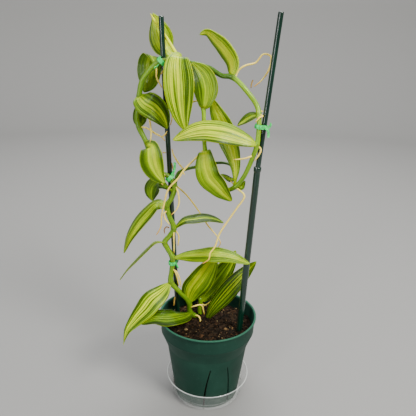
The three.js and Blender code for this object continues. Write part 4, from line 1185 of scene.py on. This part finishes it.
# A leaf narrower than this has a plain, shallow surface and fewer rows
smallLeaf = {"narrow": 10, "channel": 0.2, "ribbing": 0, "stations": 28, "columns": 25}
leaves = {
    "leafPotLeft": {
        "spine": [(-45, 6, 144), (-55, -1, 135), (-66, -10, 129), (-73, -18, 122), (-81, -25, 115),
                  (-87, -31, 109), (-91, -36, 104), (-95, -42, 89)],
        "width": 27, "widest": 0.36, "fullness": 1.3, "stalk": 3, "face": (-0.2, -0.7, 0.7), "cup": -0.14,
        "wave": 0.6, "kind": "leaf_young", "look": (1, 0.2, 0, 1.5, 0.8)},
    "leafOverRim": {
        "spine": [(-22, 14, 98), (-27, 0, 104), (-36, -14, 110.5), (-47, -21, 113), (-61, -22, 113.5),
                  (-77, -27, 107)],
        "widest": 0.5, "face": (0.1, -0.2, 0.9), "tipFace": (-0.1, -0.5, 0.9), "cup": -0.04, "wave": 0.5,
        "kind": "leaf_dark", "look": (2, 0.32, 0, 0.8, 0.6)},
    "leafMiddleLeft": {
        "spine": [(-49, 6, 238), (-60, 6, 241), (-71, 4, 232), (-83, 1, 218), (-92, -2, 202), (-97, -5, 185)],
        "face": (-0.5, -0.4, 0.8), "tipFace": (-0.8, -0.5, 0.4), "cup": -0.16,
        "look": (3, 0.28, 0, 1.2, 0.9)},
    "leafLowFront": {
        "spine": [(-24, 12, 114), (-22, 9, 125), (-18, 5, 137), (-11, 2, 149), (-3, 0, 164), (3, -1, 176),
                  (8, 0, 185)],
        "width": 31, "widest": 0.45, "face": (0, -1, 0.1), "tipFace": (0.1, -0.9, -0.3), "cup": 0.16,
        "wave": 0.5, "look": (4, 0.48, 0, 1.0, 0.6)},
    "leafLowBehind": {
        "spine": [(-11, 24, 108), (-2, 24, 122), (7, 25, 135), (16, 26, 148), (25, 26, 163), (31, 25, 178)],
        "width": 27, "face": (0.1, -1, 0.2), "tipFace": (0, -1, 0), "cup": 0.14,
        "look": (5, 0.3, 0, 0.9, 0.7)},
    "leafLowRight": {
        "spine": [(0, 18, 80), (0, 17, 90), (6, 12, 106), (16, 8, 123), (27, 5, 140), (38, 4, 155),
                  (54, 4, 174)],
        "width": 22, "widest": 0.55, "face": (-0.5, -0.8, 0.3), "tipFace": (-0.3, -0.9, 0.3), "cup": 0.14,
        "kind": "leaf_dark", "look": (6, 0.38, 0, 0.9, 0.8)},
    "leafLowAcross": {
        "spine": [(-43, 6, 175), (-27, 3, 180), (-10, -4, 185), (7, -11, 189), (24, -17, 189),
                  (44, -22, 183)],
        "width": 23, "widest": 0.5, "face": (-0.3, -0.4, 0.9), "tipFace": (0, -0.4, 0.9), "cup": -0.1,
        "wave": 0.5, "look": (7, 0.36, 0, 1.2, 0.8)},
    "leafLeftEdgeOn": {
        "spine": [(-52, 7, 194), (-62, 5, 195), (-73, 2, 186), (-84, -1, 175), (-94, -3, 164),
                  (-103, -5, 151)],
        "width": 22, "face": (-0.6, 0.1, 0.8), "cup": -0.06, "look": (8, 0.3, 0, 0.9, 0.8)},
    "leafMiddleRight": {
        "spine": [(-41, 5, 212), (-30, 6, 222), (-19, 8, 224), (-7, 10, 225), (4, 11, 223), (15, 11, 218)],
        "width": 20, "widest": 0.5, "face": (-0.2, -0.2, 1), "tipFace": (0.2, -0.2, 1), "cup": -0.12,
        "kind": "leaf_dark", "look": (9, 0.14, 0, 1.2, 0.8)},
    "leafTopLeft": {
        "spine": [(-59, 4, 388), (-61.5, 9, 393), (-64, 15, 396), (-66, 18, 391), (-67, 18, 382),
                  (-68, 16, 370), (-72, 13, 360)],
        "widest": 0.55, "face": (0, 0.2, 1), "tipFace": (0.1, 1, 0.3), "cup": 0.1, "kind": "leaf_dark",
        "look": (10, 0.45, 0, 0.9, 0.5)},
    "leafUpperLeft": {
        "spine": [(-76, 6, 357), (-72, -1, 354), (-68, -3, 351), (-61, -4, 347), (-54, -4, 340),
                  (-50, -3, 333), (-47, -2, 325)],
        "width": 26, "widest": 0.4, "face": (0.2, -1, 0.2), "tipFace": (0.3, -1, -0.1), "cup": 0.14,
        "stalk": 5, "look": (11, 0.45, 0, 0.9, 0.7)},
    "leafUpperBack": {
        "spine": [(-77, 6, 325), (-77, 13, 333), (-78, 15, 340), (-78, 15, 349)],
        "width": 15, "face": (0, -1, 0.3), "cup": 0.16, "kind": "leaf_dark", "look": (12, 0.35, 0, 0.9, 0.6)},
    "leafHeart": {
        "spine": [(-67, 5, 303), (-65, -2, 305), (-64, -4, 300), (-63, -5, 290), (-58, -4, 277),
                  (-50, -3, 267)],
        "widest": 0.42, "face": (0, -1, 0.2), "tipFace": (0.1, -1, -0.1), "cup": 0.2, "stalk": 5,
        "kind": "leaf_young", "look": (13, 0.4, -0.1, 0.8, 0.08)},
    "leafOlive": {
        "spine": [(-41, 5, 256), (-47, 2, 260), (-53, 2, 264), (-59, 3, 265.5), (-63.5, 4, 261),
                  (-65.5, 4.5, 253), (-64.5, 5.5, 244)],
        "width": 18, "widest": 0.66, "fullness": 0.85, "face": (-0.1, -1, 0.2), "tipFace": (-0.4, -1, 0),
        "cup": 0.1, "kind": "leaf_dark", "look": (14, 0.42, 0.3, 0.8, 0.3)},
    "leafTopBack": {
        "spine": [(-43, 3.9, 391.4), (-42.5, 10.5, 393), (-45.5, 18, 398), (-50.5, 20.5, 404),
                  (-53, 20.5, 410), (-56, 20.5, 420), (-59, 20, 430), (-62, 18, 437)],
        "widest": 0.55, "fullness": 1, "face": (0.3, -0.2, 1), "tipFace": (-0.1, -0.9, -0.4), "cup": -0.1,
        "kind": "leaf_young", "look": (15, 0.42, 0, 0.9, 0.4)},
    "leafTopFront": {
        "spine": [(-33, -1.5, 392), (-34.5, -7, 396), (-35, -11, 394), (-35, -15, 387), (-34, -17, 375),
                  (-33, -18, 358), (-31, -17, 341), (-27, -15, 325)],
        "width": 30, "face": (0, -0.8, 0.7), "tipFace": (0.1, -1, -0.2), "cup": 0.1, "wave": 0.4,
        "stalk": 4, "kind": "leaf_young", "look": (26, 0.5, 0.05, 0.6, 0.9)},
    "leafCupped": {
        "spine": [(-10, -4, 347), (-9, -8, 350), (-8, -9, 358), (-8, -9.5, 367), (-12, -9, 379),
                  (-22, -7, 391)],
        "widest": 0.5, "face": (0.1, -1, 0), "cup": 0.3, "kind": "leaf_young",
        "look": (17, 0.36, 0.1, 0.6, 0.35)},
    "leafTopRight": {
        "spine": [(18, -4, 378), (18, -1, 390), (11, 2, 402), (2, 5, 411), (-8, 7, 419), (-15, 7, 417)],
        "width": 21, "face": (-0.6, -0.7, -0.4), "tipFace": (-0.2, -0.7, -0.7), "cup": -0.1, "wave": 0.4,
        "kind": "leaf_young", "look": (18, 0.66, 0, 0.6, 0.4)},
    "leafLongUpright": {
        "spine": [(25, -8, 266), (25, -9, 276), (25, -8, 286), (22, -5, 300), (17, -2, 314), (11, 1, 329),
                  (4, 3, 343), (-3, 4, 359)],
        "width": 23, "widest": 0.58, "fullness": 0.85, "face": (-0.5, -0.9, 0),
        "tipFace": (-0.3, -0.9, -0.2), "cup": 0.12, "wave": 0.4, "look": (19, 0.72, 0, 0.7, 0.4)},
    "leafSmallRight": {
        "spine": [(45, -13, 343), (37, -11, 340), (30, -10, 335), (25, -10, 331)],
        "width": 12, "face": (-0.6, -0.6, 0.6), "cup": 0.1, "look": (20, 0.15, 0, 0.9, 0.8)},
    "leafLevelFront": {
        "spine": [(45, -17, 313), (40, -21, 316), (33, -22, 319), (19, -23, 324), (5, -24, 327),
                  (-9, -24, 328), (-22, -23, 325), (-40, -21, 317)],
        "width": 24, "widest": 0.48, "face": (0.1, -0.8, 0.6), "tipFace": (0, -0.9, 0.5), "cup": -0.08,
        "wave": 0.6, "kind": "leaf_young", "look": (31, 0.5, -0.1, 1.0, 1.0)},
    "leafTwisted": {
        "spine": [(-7, -3, 302), (-7.5, -10, 303), (-7, -13, 297), (-5.5, -14, 287), (-2, -14, 277),
                  (7, -14, 267), (22, -14, 252)],
        "width": 25, "widest": 0.48, "fullness": 0.62, "face": (-0.2, -0.8, 0.6),
        "tipFace": (-0.3, -0.9, -0.3), "cup": 0.12, "wave": 1, "stalk": 5, "look": (22, 0.56, 0, 0.9, 0.25)},
    "leafShootLeft": {
        "spine": [(25, 3, 271), (20, 3, 271), (15, 3, 274), (10, 3, 277)],
        "width": 7, "face": (0.4, -0.7, 0.6), "cup": 0.1, "stalk": 1.6, "kind": "leaf_dark",
        "look": (23, 0.4, 0, 0.9, 0.4)},
    "leafShootRight": {
        "spine": [(27, -8, 268), (32, -5, 265), (34, -4, 268), (36, -3, 272)],
        "width": 7, "face": (-0.5, -0.8, 0.4), "cup": 0.1, "stalk": 1.6, "kind": "leaf_dark",
        "look": (24, 0.4, 0, 0.9, 0.4)},
}


def mark(piece, values):
    spots = len(piece.data.vertices)
    for key, value in values.items():
        piece.data.attributes.new(key, "FLOAT", "POINT").data.foreach_set("value", [value] * spots)


def makeLeaf(name, shape):
    spec = {**leafBase, **shape}
    if spec["width"] < smallLeaf["narrow"]:
        spec.update(smallLeaf)
    inputs = {"Face": Vector(spec["face"]).normalized(), "Skin": materials[spec["kind"]],
              "Tip Face": Vector(spec.get("tipFace", spec["face"])).normalized(),
              "Stations": spec["stations"], "Columns": spec["columns"]}
    for key in ("Width", "Stalk", "Wave", "Channel", "Ribbing", "Midrib", "Margin"):
        inputs[key] = spec[key.lower()] * mm
    for key in ("Widest", "Fullness", "Cup", "Crease", "Ripples", "Ribs"):
        inputs[key] = float(spec[key.lower()])
    line, _ = smoothLine(spec["spine"], spec["spineRows"])
    piece = runTree(linePiece(name, [line], {}), leafTree, inputs)
    mark(piece, dict(zip(("seed", "yellow", "middle", "spread", "stripe"), spec["look"])))
    ride(piece, spec["kind"], nodeName(name))


for leafName, leafShape in leaves.items():
    makeLeaf(leafName, leafShape)

# The rolled new leaf at the growing tip
spear = {"path": [(-37.4, -0.4, 398.6), (-44, 8, 408), (-50, 14, 416), (-58, 16, 426), (-64, 15.5, 436)],
         "radius": 1.7, "rows": 60, "sides": 20, "taper": 0.7, "taperFrom": 0.5, "endPower": 9,
         "endLeast": 0.02,
         "look": {"across": 0.3, "along": 0.4, "under": 0, "seed": 25, "yellow": 0.95, "middle": 0.3,
                  "spread": 2, "stripe": 0.5}}


def makeSpear():
    line, _ = smoothLine(spear["path"], spear["rows"])
    thick = []
    for i in range(spear["rows"]):
        share = i / (spear["rows"] - 1)
        taper = 1 - spear["taper"] * max(0, share - spear["taperFrom"])
        end = min(1, math.sqrt(max(spear["endLeast"], (1 - share) * spear["endPower"])))
        thick.append(spear["radius"] * mm * taper * end)
    piece = linePiece("leafSpear", [line], {"thick": thick})
    runTree(piece, tubeTree, {"Sides": spear["sides"], "Skin": materials["leaf_young"]})
    mark(piece, spear["look"])
    ride(piece, "leaf_young", "leaf_spear")


makeSpear()
print("leaves made:", len(leaves) + 1)


# Aerial roots: from the stem to the tip, with a width factor
roots = {
    "root_top_right": (1, [(21, -5, 377), (25, -2, 385), (31, -2, 389), (41, -2, 392), (48, -4, 400),
                           (55, -5, 398), (54, -5, 386), (47, -5, 375), (40, -4, 369)]),
    "root_long_front": (1.15, [(25, -8, 266), (35, -13, 258), (28, -14, 245), (20, -14, 232), (10, -15, 215),
                               (5, -17, 200), (0, -19, 193), (-1, -20, 187), (-8, -20, 181)]),
    "root_from_twisted": (1.15, [(-7.5, -1, 305), (-16, -1.5, 296), (-29, -5, 283), (-35, -5, 274),
                                 (-46, -4, 261), (-51, -3, 244), (-54, -3, 229), (-55, -2, 217),
                                 (-60, -3, 207)]),
    "root_middle_right": (1, [(-40, 5, 264), (-27, 13, 249), (-13, 23, 226), (-3, 23, 210), (9, 18, 197),
                              (12, 15, 191), (9, 14, 185)]),
    "root_middle_front": (1, [(-40, 5, 264), (-36, 0, 256), (-35, -1, 244), (-39, -1, 235), (-44, 0, 230)]),
    "root_upper_left": (1, [(-77, 6, 325), (-70, 4, 325), (-60, 5, 319), (-53, 5, 315), (-50, 6, 311)]),
    "root_upper_hanging": (1, [(-77, 6, 351), (-71, 3, 344), (-66, 2, 335), (-64, 0, 321), (-65, 0, 309)]),
    "root_behind_leaf": (1, [(-48, 4, 392), (-44, 1, 381), (-43, 0, 359), (-42, 1, 337), (-44, 3, 328)]),
    "root_top_left": (1, [(-59, 4, 388), (-57, -1, 383), (-57, -1, 376), (-52, 1, 366)]),
    "root_by_stake": (1, [(-30, 10, 279), (-35, 7, 286), (-41, 6, 296), (-43, 6, 303)]),
    "root_right_front": (1, [(45, -17, 313), (49, -19, 309), (47, -19, 303), (43, -19, 297)]),
    "root_right_back": (1, [(42, -15, 302), (36, -18, 300), (29, -16, 298), (22, -14, 297)]),
    "root_right_loop": (1, [(45, -13, 343), (49, -17, 342), (46, -19, 341), (42, -19, 336)]),
    "root_left_small": (1, [(-47.5, 5, 234), (-51.5, 1, 231.5), (-51, 0, 227), (-45, 0, 218)]),
    "root_stake_upper": (1, [(-41, 5, 212), (-36, 8, 202), (-37, 8, 189)]),
    "root_stake_middle": (1, [(-41, 5, 212), (-41, 1, 203), (-41, 3, 192), (-41, 4, 182)]),
    "root_stake_lower": (1, [(-44, 6, 163), (-39, 6, 155), (-36, 8, 138)]),
    "root_low_hanging": (1, [(-44, 6, 161), (-38, 1, 160), (-34, 2, 148), (-33, 4, 138)]),
    "root_base_front": (1, [(-23, 12.5, 106), (-17, 8, 111), (-9, 9, 112), (-5, 10, 98)]),
    "root_base_right": (1, [(-10, 24, 105), (-4, 21, 105), (3, 21, 111), (8, 21, 117)]),
    "root_base_tip": (1, [(-18, 15, 94), (-12, 11, 95), (-10, 9, 92), (-10, 7, 84)]),
}
# Small roots and dried ends that have no solid of their own, with a width factor and dryness
rootBits = {
    "behindFront": (0.9, 0.1, [(-23.7, 2, 351.6), (-18.6, 2, 353.2), (-13, 0, 354.4)]),
    "stubRight": (0.9, 0.2, [(43.5, -14, 345.9), (46.6, -13, 346.2), (49.9, -12, 346)]),
    "branchUp": (0.8, 0.1, [(-53.7, 5, 315.1), (-50.3, 3, 317.9), (-47.2, 1, 322.3)]),
    "spur": (0.7, 0.2, [(-30.4, -5, 280.1), (-29.3, -5, 278.5), (-28.5, -5, 277)]),
    "leftBit": (0.7, 0.2, [(-53.1, 8, 298), (-51.3, 8, 298.2), (-49.5, 9, 297.9)]),
    "tieBit": (0.7, 0.3, [(-55.5, 2, 277.3), (-52.7, 1, 276.7), (-49.2, 1, 274.5)]),
    "byStakeLow": (0.8, 0.8, [(-43.6, 10, 286.4), (-42.5, 9, 282.2), (-41.3, 8, 277.5)]),
    "shootBit": (0.7, 0.4, [(20.2, -6, 271.9), (22.4, -6, 269.7), (24.3, -6, 266.7)]),
    "topBit": (0.8, 0.7, [(-50.2, 1, 382.9), (-51.5, 0, 381), (-53, 0, 378.8)]),
    "dryBase": (1.0, 0.75, [(-40.9, 8.6, 122.2), (-41.5, 7.8, 117), (-42.1, 7.2, 110.9)]),
    "brownLoop": (0.8, 1.0, [(-46.8, 6, 212.8), (-49.9, 3, 214.5), (-51.6, 2, 211.9), (-51.4, 2, 206.7)]),
    "dryTip": (0.8, 0.9, [(38.9, -4, 375.5), (37.6, -4, 371.7), (37.3, -4, 367.6)]),
    "petioleTip": (0.8, 0.0, [(-58.9, 2, 269.2), (-55.6, 1.5, 267.6), (-52.4, 1, 263.8)]),
}
rootBase = {"radius": 0.88, "fewestRows": 12, "tip": 0.55, "taperFrom": 0.7, "step": 0.9, "wander": 0.16,
            "apart": 9.1, "pace": 0.11, "endSteps": 1.6, "endLeast": 0.3, "green": 0.6, "greenReach": 0.2,
            "sides": 12, "lumps": 0.3, "lumpScale": 420.0}


def makeRoots():
    lines = []
    values = {"thick": [], "along": [], "green": [], "dry": []}
    runs = [(wide, 0.0, points) for wide, points in roots.values()] + list(rootBits.values())
    for k, (wide, dry, points) in enumerate(runs):
        _, length = smoothLine(points, 2)
        count = max(rootBase["fewestRows"], int(length / mm / rootBase["step"]))
        lines.append(smoothLine(points, count)[0])
        for i in range(count):
            share = i / (count - 1)
            late = max(0, share - rootBase["taperFrom"]) / (1 - rootBase["taperFrom"])
            taper = 1 + (rootBase["tip"] - 1) * late
            spot = Vector((k * rootBase["apart"], i * rootBase["pace"], 0))
            swell = 1 + rootBase["wander"] * noise.noise(spot)
            end = roundEnd(min(1, (count - 1 - i) / rootBase["endSteps"]), rootBase["endLeast"])
            values["thick"].append(rootBase["radius"] * wide * taper * swell * end * mm)
            values["along"].append(share)
            values["green"].append(max(0, 1 - share / rootBase["greenReach"]) * rootBase["green"])
            values["dry"].append(dry)
    piece = linePiece("aerialRoots", lines, values)
    runTree(piece, tubeTree, {"Sides": rootBase["sides"], "Lump Height": rootBase["lumps"] * mm,
                              "Lump Scale": rootBase["lumpScale"], "Skin": materials["root"]})
    ride(piece, "root_skin", *roots)


makeRoots()
print("roots made:", len(roots) + len(rootBits))


# Stage: a plain pale bowl, far wider than the plant, and soft studio light with lamps in metres and watts
stage = {"sheet": "8c8c8b", "floor": 2000, "curve": 700, "curveSteps": 12, "wall": 2600, "thickness": 50,
         "top": -0.2, "under": -60, "sides": 96,
         "sky": (0.98, 0.98, 1.0, 1), "skyStrength": 0.62}
plantMiddle = (-0.02, 0, 0.24)
lamps = {
    "key": {"place": (0.75, -0.75, 1.15), "aim": plantMiddle, "size": (0.45, 0.45), "watts": 31,
            "color": (1.0, 0.98, 0.92)},
    "fill": {"place": (-0.9, -0.9, 0.7), "aim": plantMiddle, "size": (1.2, 1.2), "watts": 5,
             "color": (0.96, 0.98, 1.0)},
    "top": {"place": (0.0, 0.35, 1.4), "aim": plantMiddle, "size": (0.9, 0.9), "watts": 8,
            "color": (1.0, 1.0, 1.0)},
    "strip": {"place": (-0.75, -1.2, 0.6), "aim": plantMiddle, "size": (0.1, 1.15), "watts": 9,
              "color": (1.0, 1.0, 1.0)},
    "wash": {"place": (0.0, 0.9, 2.2), "aim": (0.0, 2.6, 0.5), "size": (1.6, 1.6), "watts": 75,
             "color": (1.0, 0.99, 0.97)},
}


def makeBackdrop():
    reach = stage["floor"]
    curve = stage["curve"]
    top = stage["top"]
    outside = reach + curve + stage["thickness"]
    profile = [(0, top), (reach / 4, top)]
    for k in range(stage["curveSteps"] + 1):
        angle = math.pi / 2 * k / stage["curveSteps"]
        profile.append((reach + curve * math.sin(angle), top + curve * (1 - math.cos(angle))))
    profile += [(reach + curve, stage["wall"]), (outside, stage["wall"]), (outside, stage["under"]),
                (0, stage["under"])]
    material, _, shader = newMaterial("backdrop", Roughness=0.9, Specular_IOR_Level=0.1)
    shader["Base Color"].default_value = paint(stage["sheet"])
    turned("backdrop", profile, stage["sides"], material)


def makeLamp(name, spec):
    lamp = bpy.data.lights.new(name, "AREA")
    lamp.energy = spec["watts"]
    lamp.color = spec["color"]
    lamp.shape = "RECTANGLE"
    lamp.size = spec["size"][0]
    lamp.size_y = spec["size"][1]
    piece = bpy.data.objects.new(name, lamp)
    piece.location = spec["place"]
    aim = Vector(spec["aim"]) - Vector(spec["place"])
    piece.rotation_euler = aim.to_track_quat("-Z", "Y").to_euler()
    bpy.context.scene.collection.objects.link(piece)


def makeSky():
    world = bpy.data.worlds.new("sky")
    world.use_nodes = True
    sky = world.node_tree.nodes["Background"].inputs
    sky["Color"].default_value = stage["sky"]
    sky["Strength"].default_value = stage["skyStrength"]
    bpy.context.scene.world = world


makeBackdrop()
for lampName, lampSpec in lamps.items():
    makeLamp(lampName, lampSpec)
makeSky()
print("stage made")
